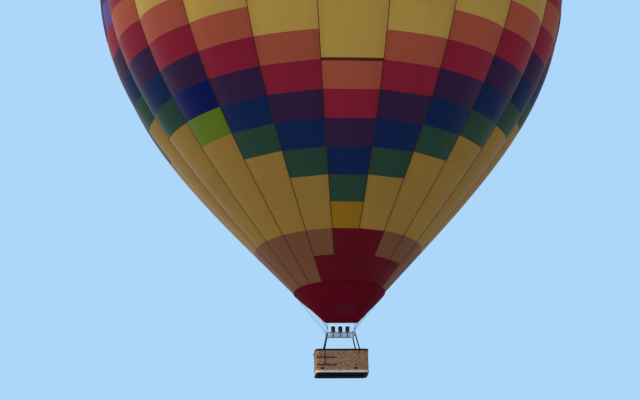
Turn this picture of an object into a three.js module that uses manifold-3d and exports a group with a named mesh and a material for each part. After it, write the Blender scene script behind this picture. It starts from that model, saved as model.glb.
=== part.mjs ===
// A passenger hot air balloon, ready to fly: envelope of twenty bulging gores with a
// parachute vent, a scoop, flying wires, a gimballed triple burner and a wicker basket.
// Millimetres, +Z up. The origin is the middle of the envelope at its widest ring.
// X runs along the basket, and -Y is the side that the scoop hangs on.
import * as THREE from 'three';
import { mergeVertices } from 'three/addons/utils/BufferGeometryUtils.js';
import Module from 'manifold-3d';

const wasm = await Module();
wasm.setup();

// Seat gap between pieces that touch
const GAP = 0.3;

// Envelope: rows of fabric from the mouth up to the crown opening
const GORES = 20;
const ROWS = 24;
const ROW_HEIGHT = 1450;
const MOUTH_ROW_HEIGHT = 1500;
const MOUTH_RADIUS = 2350;
const SKIN = 10;
const BULGE = 320;
const BULGE_POWER = 1.6;
const GORE_STRIPS = 3;
// Slope of the skin in degrees up from level, at every fourth row from the mouth
const SLOPE_EVERY = 4;
const SLOPES = [47.5, 50, 58, 76.4, 104.1, 149.8, 171];
const HALF_GORE = 180 / GORES;

// Crown: opening, vent, tapes and ring
const VENT_EDGE_ROW = 23.6;
const TAPE_WIDTH = 50;
const TAPE_THICKNESS = 5;
const TAPE_LIFT = 0.7;
const TAPE_OVERLAP_ROW = 23.88;
const CROWN_RING_RADIUS = 260;
const CROWN_RING_TUBE = 18;
const CROWN_HUB = 70;

// Turning vents: one strip of a gore, on each side
const TURNING_VENT_ROWS = [12, 13, 14, 15];
const TURNING_VENT_GORE = 5;

// Mouth hem and scoop
const HEM_HALF = 45;
const HEM_HEIGHT = 60;
const SCOOP_DROP = 0.89;
const SCOOP_SPAN = 96;
const SCOOP_POWER = 4.8;
const SCOOP_STEPS = 24;
const SCOOP_BANDS = 4;
const SCOOP_OUT = 26;

// Heights below the mouth
const FERRULE_DROP = 2000;
const FRAME_DROP = 2250;
const RIM_DROP = 3130;

// Load frame, wires and karabiners
const FRAME_HALF_X = 740;
const FRAME_HALF_Y = 580;
const FRAME_TUBE = 46;
const CORNER_X = 700;
const CORNER_Y = 540;
const WIRE_RADIUS = 5;
const WIRES_PER_CORNER = 5;
const FERRULE_RADIUS = 26;
const FERRULE_HEIGHT = 60;
const LUG = 40;
const LUG_THICKNESS = 14;
const LUG_ROOT = 10;
const KARABINER_HALF_WIDTH = 32;
const KARABINER_WIRE = 12;
const FRAME_CORNER = 60;

// Gimbal and burners
const GIMBAL_HALF_X = 615;
const GIMBAL_HALF_Y = 300;
const GIMBAL_TUBE = 30;
const PIN_RADIUS = 11;
const RACK_HALF_X = 540;
const RACK_HALF_Y = 150;
const RACK_TUBE = 26;
const RACK_BAR = 20;
const BURNER_XS = [-370, 0, 370];
const CAN_RADIUS = 108;
const CAN_HEIGHT = 320;
const CAN_BOTTOM = 120;
const BLOCK_HALF = 45;
const BLOCK_DROP = 90;
const GIMBAL_CORNER = 40;
const RACK_CORNER = 30;
const POST = 24;
const POST_SUNK = 8;
const CAN_BAR_WIDTH = 20;
const CAN_BAR_HEIGHT = 12;
const CAN_WALL = 14;
const CAN_LIP = 8;
const CAN_LIP_SHARE = 0.86;

// Basket
const BASKET_HALF_X = 1350;
const BASKET_HALF_Y = 750;
const BASKET_HEIGHT = 1225;
const BASKET_CORNER = 210;
const WALL = 35;
const RIM_PAD = 90;
const RIM_OVERHANG = 22;
const BAND_HEIGHT = 156;
const BAND_THICKNESS = 12;
const FLOOR_THICKNESS = 25;
const PARTITION_X = -430;
const PARTITION_THICKNESS = 40;
const RUNNER_YS = [-480, 0, 480];
const RUNNER_WIDTH = 90;
const RUNNER_HEIGHT = 45;
const RUNNER_HALF_X = 1180;
const UPRIGHT_RADIUS = 34;
const UPRIGHT_FOOT_X = 890;
const UPRIGHT_FOOT_Y = 728;

// Fuel cylinders in the pilot's end
const CYLINDER_RADIUS = 178;
const CYLINDER_XS = [-1080, -690];
const CYLINDER_Y = 520;
const CYLINDER_HEIGHT = 860;
const CYLINDER_FOOT_RADIUS = 150;
const CYLINDER_FOOT_HEIGHT = 40;
const CYLINDER_BELLY_HEIGHT = 90;
const CYLINDER_SHOULDER_RADIUS = 130;
const CYLINDER_COLLAR_RADIUS = 105;
const CYLINDER_SHOULDER_DROP = 170;
const CYLINDER_NECK_DROP = 100;
const CYLINDER_COLLAR_DROP = 85;

// Colours from the photograph, as sRGB
const COLOUR = {
  golden: 0xc9a060,
  crimson: 0x6b0018,
  violet: 0x4a2a6a,
  webbing: 0x2c2622,
  steel: 0xb4b6b8,
  darkSteel: 0x3a3b3d,
  padding: 0x17161a,
  wicker: 0xb08a62,
  hide: 0xe6ddcf,
  plywood: 0xa98a5e,
  runner: 0x241f1c,
  cylinder: 0xc8cbcd,
};

// Profile of the envelope

const slopeCurve = new THREE.SplineCurve(
  SLOPES.map((slope, station) => new THREE.Vector2(station * SLOPE_EVERY, slope)),
);

function slopeAt(row) {
  const share = row / (SLOPE_EVERY * (SLOPES.length - 1));
  return THREE.MathUtils.degToRad(slopeCurve.getPoint(Math.min(share, 1)).y);
}

// Radius and height above the mouth at each row edge, walked up the skin in small steps
const STEPS_PER_ROW = 20;
const LAST_ROW = 26;

function walkProfile() {
  const stations = [{ radius: MOUTH_RADIUS, height: 0 }];
  let radius = MOUTH_RADIUS;
  let height = 0;
  for (let row = 0; row < LAST_ROW; row += 1) {
    const step = (row === 0 ? MOUTH_ROW_HEIGHT : ROW_HEIGHT) / STEPS_PER_ROW;
    for (let part = 0; part < STEPS_PER_ROW; part += 1) {
      const slope = slopeAt(row + (part + 0.5) / STEPS_PER_ROW);
      radius += step * Math.cos(slope);
      height += step * Math.sin(slope);
    }
    stations.push({ radius, height });
  }
  return stations;
}

const PROFILE = walkProfile();
const EQUATOR_ROW = 14;

function profileAt(row) {
  const low = Math.min(Math.floor(row), LAST_ROW - 1);
  const share = row - low;
  return {
    radius: THREE.MathUtils.lerp(PROFILE[low].radius, PROFILE[low + 1].radius, share),
    height: THREE.MathUtils.lerp(PROFILE[low].height, PROFILE[low + 1].height, share),
  };
}

const MOUTH_Z = -Math.round(profileAt(EQUATOR_ROW).height);
const FERRULE_Z = MOUTH_Z - FERRULE_DROP;
const FRAME_Z = MOUTH_Z - FRAME_DROP;
const RIM_TOP = MOUTH_Z - RIM_DROP;
const BASKET_BOTTOM = RIM_TOP - BASKET_HEIGHT;

// A point on the skin: row counted from the mouth, angle in degrees from the gore's middle,
// depth inwards from the outer face
function skinPoint(row, angle, depth) {
  const { radius, height } = profileAt(row);
  const slope = slopeAt(row);
  const fade = Math.sin((Math.PI * Math.min(row, ROWS)) / ROWS) ** BULGE_POWER;
  const bulge = BULGE * fade * (1 - (angle / HALF_GORE) ** 2);
  const r = radius + (bulge - depth) * Math.sin(slope);
  const z = MOUTH_Z + height - (bulge - depth) * Math.cos(slope);
  const a = THREE.MathUtils.degToRad(angle);
  return new THREE.Vector3(r * Math.sin(a), -r * Math.cos(a), z);
}

// Solid makers

// A closed sheet between two faces: pointAt(i, j, side), side 0 outside and 1 inside.
// Seen from outside, i runs upwards and j to the right.
function sheet(rows, columns, pointAt) {
  const positions = [];
  const faces = [];
  const index = (i, j, side) => (side * (rows + 1) + i) * (columns + 1) + j;
  for (const side of [0, 1]) {
    for (let i = 0; i <= rows; i += 1) {
      for (let j = 0; j <= columns; j += 1) {
        positions.push(...pointAt(i, j, side).toArray());
      }
    }
  }
  const quad = (a, b, c, d) => faces.push(a, b, c, a, c, d);
  for (let i = 0; i < rows; i += 1) {
    for (let j = 0; j < columns; j += 1) {
      quad(index(i, j, 0), index(i, j + 1, 0), index(i + 1, j + 1, 0), index(i + 1, j, 0));
      quad(index(i, j, 1), index(i + 1, j, 1), index(i + 1, j + 1, 1), index(i, j + 1, 1));
    }
  }
  for (let i = 0; i < rows; i += 1) {
    quad(index(i, 0, 0), index(i + 1, 0, 0), index(i + 1, 0, 1), index(i, 0, 1));
    quad(index(i, columns, 0), index(i, columns, 1), index(i + 1, columns, 1), index(i + 1, columns, 0));
  }
  for (let j = 0; j < columns; j += 1) {
    quad(index(0, j, 0), index(0, j, 1), index(0, j + 1, 1), index(0, j + 1, 0));
    quad(index(rows, j, 0), index(rows, j + 1, 0), index(rows, j + 1, 1), index(rows, j, 1));
  }
  const geometry = new THREE.BufferGeometry();
  geometry.setAttribute('position', new THREE.Float32BufferAttribute(positions, 3));
  geometry.setIndex(faces);
  return geometry;
}

// A ring or disc turned about the upright axis, from a profile of [radius, height] pairs.
// The first edge lies at the start angle, in degrees from -Y.
function turned(profile, segments, start = 0) {
  const points = profile.map(([radius, height]) => new THREE.Vector2(radius, height));
  const from = THREE.MathUtils.degToRad(start);
  return new THREE.LatheGeometry(points, segments, from).rotateX(Math.PI / 2);
}

// A closed profile listed anticlockwise, with radius to the right and height up
function turnedRing(profile, segments) {
  return turned([...profile, profile[0]], segments);
}

// A round bar between two points
function bar(from, to, radius, sides) {
  const length = from.distanceTo(to);
  const direction = to.clone().sub(from).normalize();
  const geometry = new THREE.CylinderGeometry(radius, radius, length, sides);
  geometry.applyQuaternion(
    new THREE.Quaternion().setFromUnitVectors(new THREE.Vector3(0, 1, 0), direction),
  );
  const middle = from.clone().add(to).multiplyScalar(0.5);
  return geometry.translate(middle.x, middle.y, middle.z);
}

function box(sizeX, sizeY, sizeZ, x, y, z) {
  return new THREE.BoxGeometry(sizeX, sizeY, sizeZ).translate(x, y, z);
}

function roundedOutline(halfX, halfY, corner) {
  const outline = new THREE.Shape();
  outline.moveTo(halfX - corner, -halfY);
  outline.absarc(halfX - corner, -halfY + corner, corner, -Math.PI / 2, 0);
  outline.absarc(halfX - corner, halfY - corner, corner, 0, Math.PI / 2);
  outline.absarc(-halfX + corner, halfY - corner, corner, Math.PI / 2, Math.PI);
  outline.absarc(-halfX + corner, -halfY + corner, corner, Math.PI, Math.PI * 1.5);
  outline.closePath();
  return outline;
}

// An upright slab or ring of rounded plan, between two heights
function slab(halfX, halfY, corner, bottom, top, width = 0) {
  const outline = roundedOutline(halfX, halfY, corner);
  if (width > 0) {
    outline.holes.push(roundedOutline(halfX - width, halfY - width, Math.max(corner - width, 4)));
  }
  const geometry = new THREE.ExtrudeGeometry(outline, {
    depth: top - bottom,
    bevelEnabled: false,
    curveSegments: 3,
  });
  return geometry.translate(0, 0, bottom);
}

function toManifold(geometry) {
  const bare = geometry.clone();
  bare.deleteAttribute('normal');
  bare.deleteAttribute('uv');
  const merged = mergeVertices(bare, 0.001);
  const vertProperties = new Float32Array(merged.attributes.position.array);
  const triVerts = new Uint32Array(merged.index.array);
  return new wasm.Manifold(new wasm.Mesh({ numProp: 3, vertProperties, triVerts }));
}

function fromManifold(solid) {
  const { vertProperties, triVerts } = solid.getMesh();
  const geometry = new THREE.BufferGeometry();
  geometry.setAttribute('position', new THREE.Float32BufferAttribute(vertProperties, 3));
  geometry.setIndex([...triVerts]);
  return geometry;
}

function joined(geometries) {
  const solids = geometries.map(toManifold);
  return fromManifold(solids.reduce((whole, piece) => whole.add(piece)));
}

// The balloon

const balloon = new THREE.Group();

function place(name, geometry, colour, roughness = 0.8, metalness = 0, parent = balloon) {
  const material = new THREE.MeshStandardMaterial({ color: colour, roughness, metalness });
  const mesh = new THREE.Mesh(geometry, material);
  mesh.name = name;
  parent.add(mesh);
  return mesh;
}

const twoDigits = (number) => String(number).padStart(2, '0');

// Gores: gore_01 faces -Y, and they count towards +X
function makeGores() {
  const stripAngle = (2 * HALF_GORE) / GORE_STRIPS;
  for (let gore = 0; gore < GORES; gore += 1) {
    const geometry = sheet(ROWS, GORE_STRIPS, (row, strip, side) => {
      const angle = -HALF_GORE + strip * stripAngle;
      const point = skinPoint(row, angle, side * SKIN);
      // The side edges stand back from the seam, square to it
      const seam = THREE.MathUtils.degToRad(HALF_GORE);
      const edge = (strip === GORE_STRIPS ? 1 : 0) - (strip === 0 ? 1 : 0);
      point.x -= (edge * GAP * Math.cos(seam)) / 2;
      point.y -= (Math.abs(edge) * GAP * Math.sin(seam)) / 2;
      return point;
    });
    const mesh = place(`gore_${twoDigits(gore + 1)}`, geometry, COLOUR.golden, 0.7);
    mesh.rotation.z = (gore * 2 * Math.PI) / GORES;
  }
}

// Turning vents: fabric flaps over slits, on the middle strip of a gore
function makeTurningVents() {
  const stripAngle = (2 * HALF_GORE) / GORE_STRIPS;
  const first = TURNING_VENT_ROWS[0];
  for (const [name, turn] of [['turning_vent_left', -1], ['turning_vent_right', 1]]) {
    const geometry = sheet(TURNING_VENT_ROWS.length - 1, 1, (i, j, side) => {
      const angle = (j - 0.5) * stripAngle;
      return skinPoint(first + i, angle, -GAP - (1 - side) * SKIN);
    });
    const mesh = place(name, geometry, COLOUR.violet, 0.7);
    mesh.rotation.z = (turn * TURNING_VENT_GORE * 2 * Math.PI) / GORES;
  }
}

// Crown: the vent closes the opening from inside, and the tapes cross over it to the ring
function makeCrown() {
  const rows = [VENT_EDGE_ROW, ROWS, ROWS + 1, LAST_ROW];
  const face = (depth) => rows.map((row) => {
    const point = skinPoint(row, HALF_GORE, depth);
    return [Math.hypot(point.x, point.y), point.z];
  });
  const upper = face(SKIN + GAP);
  const lower = face(2 * SKIN + GAP);
  // Flat in the middle, under the hub of the tapes
  const centre = upper.at(-1)[1];
  const profile = [[0, lower.at(-1)[1]], ...lower.toReversed(), ...upper, [0, centre]];
  const vent = turned(profile, GORES * GORE_STRIPS, HALF_GORE);
  place('parachute_vent', vent, COLOUR.golden, 0.7);

  const hubTop = skinPoint(LAST_ROW, HALF_GORE, -TAPE_LIFT - TAPE_THICKNESS).z;
  const hubBottom = skinPoint(LAST_ROW, HALF_GORE, -TAPE_LIFT).z - 2;
  const hubOuter = profileAt(LAST_ROW).radius + CROWN_HUB;
  const hub = turnedRing([
    [CROWN_RING_RADIUS - CROWN_HUB, hubBottom],
    [hubOuter, hubBottom],
    [hubOuter, hubTop],
    [CROWN_RING_RADIUS - CROWN_HUB, hubTop],
  ], GORES);
  const tapeRows = [TAPE_OVERLAP_ROW, ROWS, ROWS + 1, LAST_ROW];
  const tapes = [];
  for (let seam = 0; seam < GORES; seam += 1) {
    const tape = sheet(tapeRows.length - 1, 1, (i, j, side) => {
      const point = skinPoint(tapeRows[i], HALF_GORE, -TAPE_LIFT - (1 - side) * TAPE_THICKNESS);
      const radius = Math.hypot(point.x, point.y);
      return new THREE.Vector3((j - 0.5) * TAPE_WIDTH, -radius, point.z);
    });
    tapes.push(tape.rotateZ(((seam + 0.5) * 2 * Math.PI) / GORES));
  }
  place('crown_tapes', joined([hub, ...tapes]), COLOUR.webbing, 0.9);

  const tube = [];
  for (let step = 0; step < 8; step += 1) {
    const turn = (step * Math.PI) / 4;
    tube.push([
      CROWN_RING_RADIUS + CROWN_RING_TUBE * Math.cos(turn),
      hubTop + GAP + CROWN_RING_TUBE * (1 + Math.sin(turn)),
    ]);
  }
  place('crown_ring', turnedRing(tube, 24), COLOUR.steel, 0.4, 0.9);
}

function makeMouthHem() {
  const hem = turnedRing([
    [MOUTH_RADIUS - HEM_HALF, MOUTH_Z - GAP - HEM_HEIGHT],
    [MOUTH_RADIUS + HEM_HALF, MOUTH_Z - GAP - HEM_HEIGHT],
    [MOUTH_RADIUS + HEM_HALF, MOUTH_Z - GAP],
    [MOUTH_RADIUS - HEM_HALF, MOUTH_Z - GAP],
  ], 2 * GORES);
  place('mouth_hem', hem, COLOUR.crimson, 0.75);
}

// A point on the cage that the flying wires make, from the hem (share 0) to the ferrules
// (share 1), standing out from the wires by a distance
function cagePoint(angle, share, out) {
  const a = THREE.MathUtils.degToRad(angle);
  const turn = Math.abs(angle);
  const sideways = Math.sign(angle);
  const lastWire = 90 - HALF_GORE;
  let footX = CORNER_X;
  let footY = -CORNER_Y;
  if (turn < HALF_GORE) {
    footX = (CORNER_X * turn) / HALF_GORE;
  }
  if (turn > lastWire) {
    footY = -CORNER_Y + (CORNER_Y * (turn - lastWire)) / HALF_GORE;
  }
  const top = new THREE.Vector3(Math.sin(a), -Math.cos(a), 0).multiplyScalar(MOUTH_RADIUS + out);
  const reach = 1 + (2 * out) / Math.hypot(CORNER_X, CORNER_Y);
  const foot = new THREE.Vector3(sideways * footX * reach, footY * reach, 0);
  const point = top.lerp(foot, share);
  const hemBottom = MOUTH_Z - HEM_HEIGHT - 2 * GAP;
  point.z = THREE.MathUtils.lerp(hemBottom, FERRULE_Z, share);
  return point;
}

// Scoop: a bowl of cloth round the near side of the wires, lowest in the middle
function makeScoop() {
  const geometry = sheet(SCOOP_BANDS, SCOOP_STEPS, (band, step, side) => {
    const angle = -SCOOP_SPAN + (2 * SCOOP_SPAN * step) / SCOOP_STEPS;
    const inward = Math.min(Math.abs(angle) / SCOOP_SPAN, 1) ** SCOOP_POWER;
    const lowest = Math.max(SCOOP_DROP * (1 - inward), 0.06);
    const share = lowest * (1 - band / SCOOP_BANDS);
    return cagePoint(angle, share, SCOOP_OUT + (1 - side) * SKIN - SKIN / 2);
  });
  place('scoop', geometry, COLOUR.crimson, 0.75);
}

// The four corners of the frame, with the sign of x and y
const CORNERS = [
  { name: 'front_left', x: -1, y: -1 },
  { name: 'front_right', x: 1, y: -1 },
  { name: 'rear_right', x: 1, y: 1 },
  { name: 'rear_left', x: -1, y: 1 },
];

// Flying wires: five from each quarter of the mouth, gathered in one ferrule
function makeWires() {
  const hemBottom = MOUTH_Z - HEM_HEIGHT - 2 * GAP;
  for (const corner of CORNERS) {
    const foot = new THREE.Vector3(corner.x * CORNER_X, corner.y * CORNER_Y, FERRULE_Z);
    const pieces = [
      turned([
        [0, FERRULE_Z - FERRULE_HEIGHT],
        [FERRULE_RADIUS, FERRULE_Z - FERRULE_HEIGHT],
        [FERRULE_RADIUS, FERRULE_Z],
        [0, FERRULE_Z + FERRULE_RADIUS],
      ], 8).translate(foot.x, foot.y, 0),
    ];
    for (let wire = 0; wire < WIRES_PER_CORNER; wire += 1) {
      const angle = THREE.MathUtils.degToRad((2 * wire + 1) * HALF_GORE);
      const head = new THREE.Vector3(
        corner.x * (MOUTH_RADIUS - HEM_HALF / 3) * Math.sin(angle),
        corner.y * (MOUTH_RADIUS - HEM_HALF / 3) * Math.cos(angle),
        hemBottom,
      );
      // The wire leans, so its end stands down by this much to stay under the hem
      const run = Math.hypot(head.x - foot.x, head.y - foot.y);
      head.z -= (WIRE_RADIUS * run) / head.distanceTo(foot);
      pieces.push(bar(foot, head, WIRE_RADIUS, 6));
    }
    place(`flying_wires_${corner.name}`, joined(pieces), COLOUR.darkSteel, 0.5, 0.6);
  }
}

// Karabiners: an oval link between each ferrule and the lug on the frame's corner
function makeKarabiners() {
  const top = FERRULE_Z - FERRULE_HEIGHT - GAP;
  const bottom = FRAME_Z + FRAME_TUBE / 2 + LUG + GAP;
  const halfHeight = (top - bottom) / 2;
  for (const corner of CORNERS) {
    const outline = roundedOutline(KARABINER_HALF_WIDTH, halfHeight, KARABINER_HALF_WIDTH - 2);
    const inner = KARABINER_HALF_WIDTH - KARABINER_WIRE;
    outline.holes.push(roundedOutline(inner, halfHeight - KARABINER_WIRE, inner - 2));
    const link = new THREE.ExtrudeGeometry(outline, {
      depth: KARABINER_WIRE,
      bevelEnabled: false,
      curveSegments: 3,
    });
    link.rotateX(Math.PI / 2);
    link.translate(
      corner.x * CORNER_X,
      corner.y * CORNER_Y + KARABINER_WIRE / 2,
      (top + bottom) / 2,
    );
    place(`karabiner_${corner.name}`, link, COLOUR.steel, 0.35, 0.9);
  }
}

function makeLoadFrame() {
  const half = FRAME_TUBE / 2;
  const bottom = FRAME_Z - half;
  const top = FRAME_Z + half;
  const pieces = [slab(FRAME_HALF_X, FRAME_HALF_Y, FRAME_CORNER, bottom, top, FRAME_TUBE)];
  for (const corner of CORNERS) {
    pieces.push(box(
      LUG,
      LUG_THICKNESS,
      LUG + LUG_ROOT,
      corner.x * CORNER_X,
      corner.y * CORNER_Y,
      top + (LUG - LUG_ROOT) / 2,
    ));
  }
  place('load_frame', joined(pieces), COLOUR.steel, 0.35, 0.9);
}

// Gimbal: a ring that tilts about X in the load frame, and carries the rack, which tilts about Y
function makeGimbal() {
  const half = GIMBAL_TUBE / 2;
  const bottom = FRAME_Z - half;
  const top = FRAME_Z + half;
  const pieces = [slab(GIMBAL_HALF_X, GIMBAL_HALF_Y, GIMBAL_CORNER, bottom, top, GIMBAL_TUBE)];
  const reach = FRAME_HALF_X - FRAME_TUBE - GAP;
  for (const side of [-1, 1]) {
    const from = new THREE.Vector3(side * (GIMBAL_HALF_X - half), 0, FRAME_Z);
    const to = new THREE.Vector3(side * reach, 0, FRAME_Z);
    pieces.push(bar(from, to, PIN_RADIUS, 12));
  }
  place('gimbal_ring', joined(pieces), COLOUR.steel, 0.35, 0.9);
}

function makeBurners() {
  const half = RACK_TUBE / 2;
  const bottom = FRAME_Z - half;
  const top = FRAME_Z + half;
  const pieces = [slab(RACK_HALF_X, RACK_HALF_Y, RACK_CORNER, bottom, top, RACK_TUBE)];
  const reach = GIMBAL_HALF_Y - GIMBAL_TUBE - GAP;
  for (const side of [-1, 1]) {
    const from = new THREE.Vector3(0, side * (RACK_HALF_Y - half / 2), FRAME_Z);
    const to = new THREE.Vector3(0, side * reach, FRAME_Z);
    pieces.push(bar(from, to, PIN_RADIUS, 12));
  }
  const seat = FRAME_Z + CAN_BOTTOM;
  for (const x of BURNER_XS) {
    pieces.push(box(RACK_BAR, 2 * RACK_HALF_Y - RACK_BAR, RACK_BAR, x, 0, FRAME_Z));
    pieces.push(box(2 * BLOCK_HALF, 2 * BLOCK_HALF, BLOCK_DROP, x, 0, FRAME_Z - BLOCK_DROP / 2));
    pieces.push(box(POST, POST, CAN_BOTTOM, x, 0, FRAME_Z + CAN_BOTTOM / 2 - POST_SUNK));
    pieces.push(box(
      2 * CAN_RADIUS - CAN_LIP,
      CAN_BAR_WIDTH,
      CAN_BAR_HEIGHT,
      x,
      0,
      seat - GAP - CAN_BAR_HEIGHT / 2,
    ));
  }
  place('burner_rack', joined(pieces), COLOUR.steel, 0.4, 0.9);

  const lip = CAN_RADIUS - CAN_LIP;
  BURNER_XS.forEach((x, number) => {
    const can = turnedRing([
      [CAN_RADIUS - CAN_WALL, seat],
      [CAN_RADIUS, seat],
      [CAN_RADIUS, seat + CAN_HEIGHT * CAN_LIP_SHARE],
      [lip, seat + CAN_HEIGHT],
      [lip - CAN_WALL, seat + CAN_HEIGHT],
    ], 16);
    place(`burner_can_${number + 1}`, can.translate(x, 0, 0), COLOUR.darkSteel, 0.45, 0.8);
  });
}

// Uprights: padded sleeves from the frame's corners to the basket's rim
function makeUprights() {
  const sides = 8;
  for (const corner of CORNERS) {
    const head = new THREE.Vector3(
      corner.x * CORNER_X,
      corner.y * CORNER_Y,
      FRAME_Z - FRAME_TUBE / 2 - GAP,
    );
    const foot = new THREE.Vector3(
      corner.x * UPRIGHT_FOOT_X,
      corner.y * UPRIGHT_FOOT_Y,
      RIM_TOP + GAP,
    );
    const length = head.z - foot.z;
    const sleeve = new THREE.CylinderGeometry(UPRIGHT_RADIUS, UPRIGHT_RADIUS, length, sides);
    sleeve.rotateX(Math.PI / 2);
    const lean = new THREE.Matrix4().set(
      1, 0, (head.x - foot.x) / length, 0,
      0, 1, (head.y - foot.y) / length, 0,
      0, 0, 1, 0,
      0, 0, 0, 1,
    );
    sleeve.applyMatrix4(lean);
    const middle = head.clone().add(foot).multiplyScalar(0.5);
    sleeve.translate(middle.x, middle.y, middle.z);
    place(`upright_${corner.name}`, sleeve, COLOUR.padding, 0.9);
  }
}

function makeBasket() {
  const floorTop = BASKET_BOTTOM + FLOOR_THICKNESS;
  const wallTop = RIM_TOP - RIM_PAD;
  place(
    'basket_floor',
    slab(BASKET_HALF_X, BASKET_HALF_Y, BASKET_CORNER, BASKET_BOTTOM, floorTop),
    COLOUR.plywood,
  );
  place(
    'basket_wall',
    slab(BASKET_HALF_X, BASKET_HALF_Y, BASKET_CORNER, floorTop + GAP, wallTop - GAP, WALL),
    COLOUR.wicker,
  );
  place(
    'rim_pad',
    slab(
      BASKET_HALF_X + RIM_OVERHANG,
      BASKET_HALF_Y + RIM_OVERHANG,
      BASKET_CORNER + RIM_OVERHANG,
      wallTop,
      RIM_TOP,
      WALL + 2 * RIM_OVERHANG,
    ),
    COLOUR.padding,
    0.6,
  );
  place(
    'hide_band',
    slab(
      BASKET_HALF_X + GAP + BAND_THICKNESS,
      BASKET_HALF_Y + GAP + BAND_THICKNESS,
      BASKET_CORNER + GAP + BAND_THICKNESS,
      BASKET_BOTTOM,
      BASKET_BOTTOM + BAND_HEIGHT,
      BAND_THICKNESS,
    ),
    COLOUR.hide,
    0.7,
  );

  const inside = BASKET_HALF_Y - WALL - GAP;
  const partitionBottom = floorTop + GAP;
  const partitionTop = wallTop - GAP;
  const height = partitionTop - partitionBottom;
  const middle = (partitionTop + partitionBottom) / 2;
  const cross = box(PARTITION_THICKNESS, 2 * inside, height, PARTITION_X, 0, middle);
  place('cross_partition', cross, COLOUR.wicker);
  const from = PARTITION_X + PARTITION_THICKNESS / 2 + GAP;
  const to = BASKET_HALF_X - WALL - GAP;
  const long = box(to - from, PARTITION_THICKNESS, height, (from + to) / 2, 0, middle);
  place('long_partition', long, COLOUR.wicker);

  RUNNER_YS.forEach((y, number) => {
    const runner = box(
      2 * RUNNER_HALF_X,
      RUNNER_WIDTH,
      RUNNER_HEIGHT,
      0,
      y,
      BASKET_BOTTOM - GAP - RUNNER_HEIGHT / 2,
    );
    place(`runner_${number + 1}`, runner, COLOUR.runner);
  });
}

// Fuel cylinders: two along each long wall of the pilot's end
function makeCylinders() {
  const foot = BASKET_BOTTOM + FLOOR_THICKNESS + GAP;
  const profile = [
    { radius: 0, height: 0 },
    { radius: CYLINDER_FOOT_RADIUS, height: 0 },
    { radius: CYLINDER_FOOT_RADIUS, height: CYLINDER_FOOT_HEIGHT },
    { radius: CYLINDER_RADIUS, height: CYLINDER_BELLY_HEIGHT },
    { radius: CYLINDER_RADIUS, height: CYLINDER_HEIGHT - CYLINDER_SHOULDER_DROP },
    { radius: CYLINDER_SHOULDER_RADIUS, height: CYLINDER_HEIGHT - CYLINDER_NECK_DROP },
    { radius: CYLINDER_COLLAR_RADIUS, height: CYLINDER_HEIGHT - CYLINDER_COLLAR_DROP },
    { radius: CYLINDER_COLLAR_RADIUS, height: CYLINDER_HEIGHT },
    { radius: 0, height: CYLINDER_HEIGHT },
  ];
  let number = 0;
  for (const side of [-1, 1]) {
    for (const x of CYLINDER_XS) {
      number += 1;
      const body = turned(profile.map((point) => [point.radius, foot + point.height]), 16);
      body.translate(x, side * CYLINDER_Y, 0);
      place(`fuel_cylinder_${number}`, body, COLOUR.cylinder, 0.4, 0.8);
    }
  }
}

makeGores();
makeTurningVents();
makeCrown();
makeMouthHem();
makeScoop();
makeWires();
makeKarabiners();
makeLoadFrame();
makeGimbal();
makeBurners();
makeUprights();
makeBasket();
makeCylinders();

export default balloon;
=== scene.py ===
# Passenger hot air balloon: cloth, webbing, steel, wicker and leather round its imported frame
from contextlib import contextmanager
import math
import random

import bmesh
import bpy
from mathutils import Matrix
from mathutils import Vector
import numpy as np


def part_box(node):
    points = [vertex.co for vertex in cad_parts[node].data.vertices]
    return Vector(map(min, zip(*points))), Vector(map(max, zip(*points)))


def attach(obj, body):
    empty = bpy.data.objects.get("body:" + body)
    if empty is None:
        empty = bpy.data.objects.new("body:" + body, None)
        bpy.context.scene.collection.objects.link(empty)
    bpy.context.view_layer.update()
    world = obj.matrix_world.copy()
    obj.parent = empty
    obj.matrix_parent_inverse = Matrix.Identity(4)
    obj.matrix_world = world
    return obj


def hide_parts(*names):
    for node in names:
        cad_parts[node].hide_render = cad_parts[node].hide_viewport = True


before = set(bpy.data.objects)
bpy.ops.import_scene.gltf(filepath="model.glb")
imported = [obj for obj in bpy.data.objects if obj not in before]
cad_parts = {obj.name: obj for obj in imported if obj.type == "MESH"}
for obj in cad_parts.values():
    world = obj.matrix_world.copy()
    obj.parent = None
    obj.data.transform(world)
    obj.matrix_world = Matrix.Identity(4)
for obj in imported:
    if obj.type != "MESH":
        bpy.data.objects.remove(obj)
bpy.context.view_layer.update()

bl_info = {
    "name": "Hot air balloon",
    "version": (1, 0, 0),
    "blender": (4, 5, 0),
    "location": "3D View > Sidebar > Balloon",
    "description": "Dresses a passenger hot air balloon round its frame",
    "category": "Object",
}

# Envelope: rows of fabric from the mouth up, as the frame has them
GAP = 0.0003
GORES = 20
ROWS = 24
ROW_HEIGHT = 1.45
MOUTH_ROW_HEIGHT = 1.5
MOUTH_RADIUS = 2.35
SKIN = 0.010
BULGE = 0.32
BULGE_POWER = 1.6
# Slope of the skin in degrees up from level, at every fourth row
SLOPE_EVERY = 4
SLOPES = [47.5, 50, 58, 76.4, 104.1, 149.8, 171]
HALF_GORE = 180 / GORES
GORE_TURN = 2 * HALF_GORE
STEPS_PER_ROW = 20
LAST_ROW = 26
SPLIT_ROW = 12
CLOTH_STEPS = 8
CLOTH_COLUMNS = 18
SLACK = 0.007
SLACK_ROWS = 4
CLOTH_SHIFT = 8
# Strength of the painted glow on the inner faces of the envelope and the vent, standing in for sunlight
# through the cloth
PAINTED_LINING_GLOW = 0.16
RIPSTOP_HEIGHT = 0.00025
ENVELOPE_MIDDLE = Vector((0, 0, -2))
TAN_ROWS = 2
DIAMOND_ROW = 12
RINGS = ("yellow", "yellow", "yellow", "yellow", "orange", "red", "plum", "blue", "green")
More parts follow.
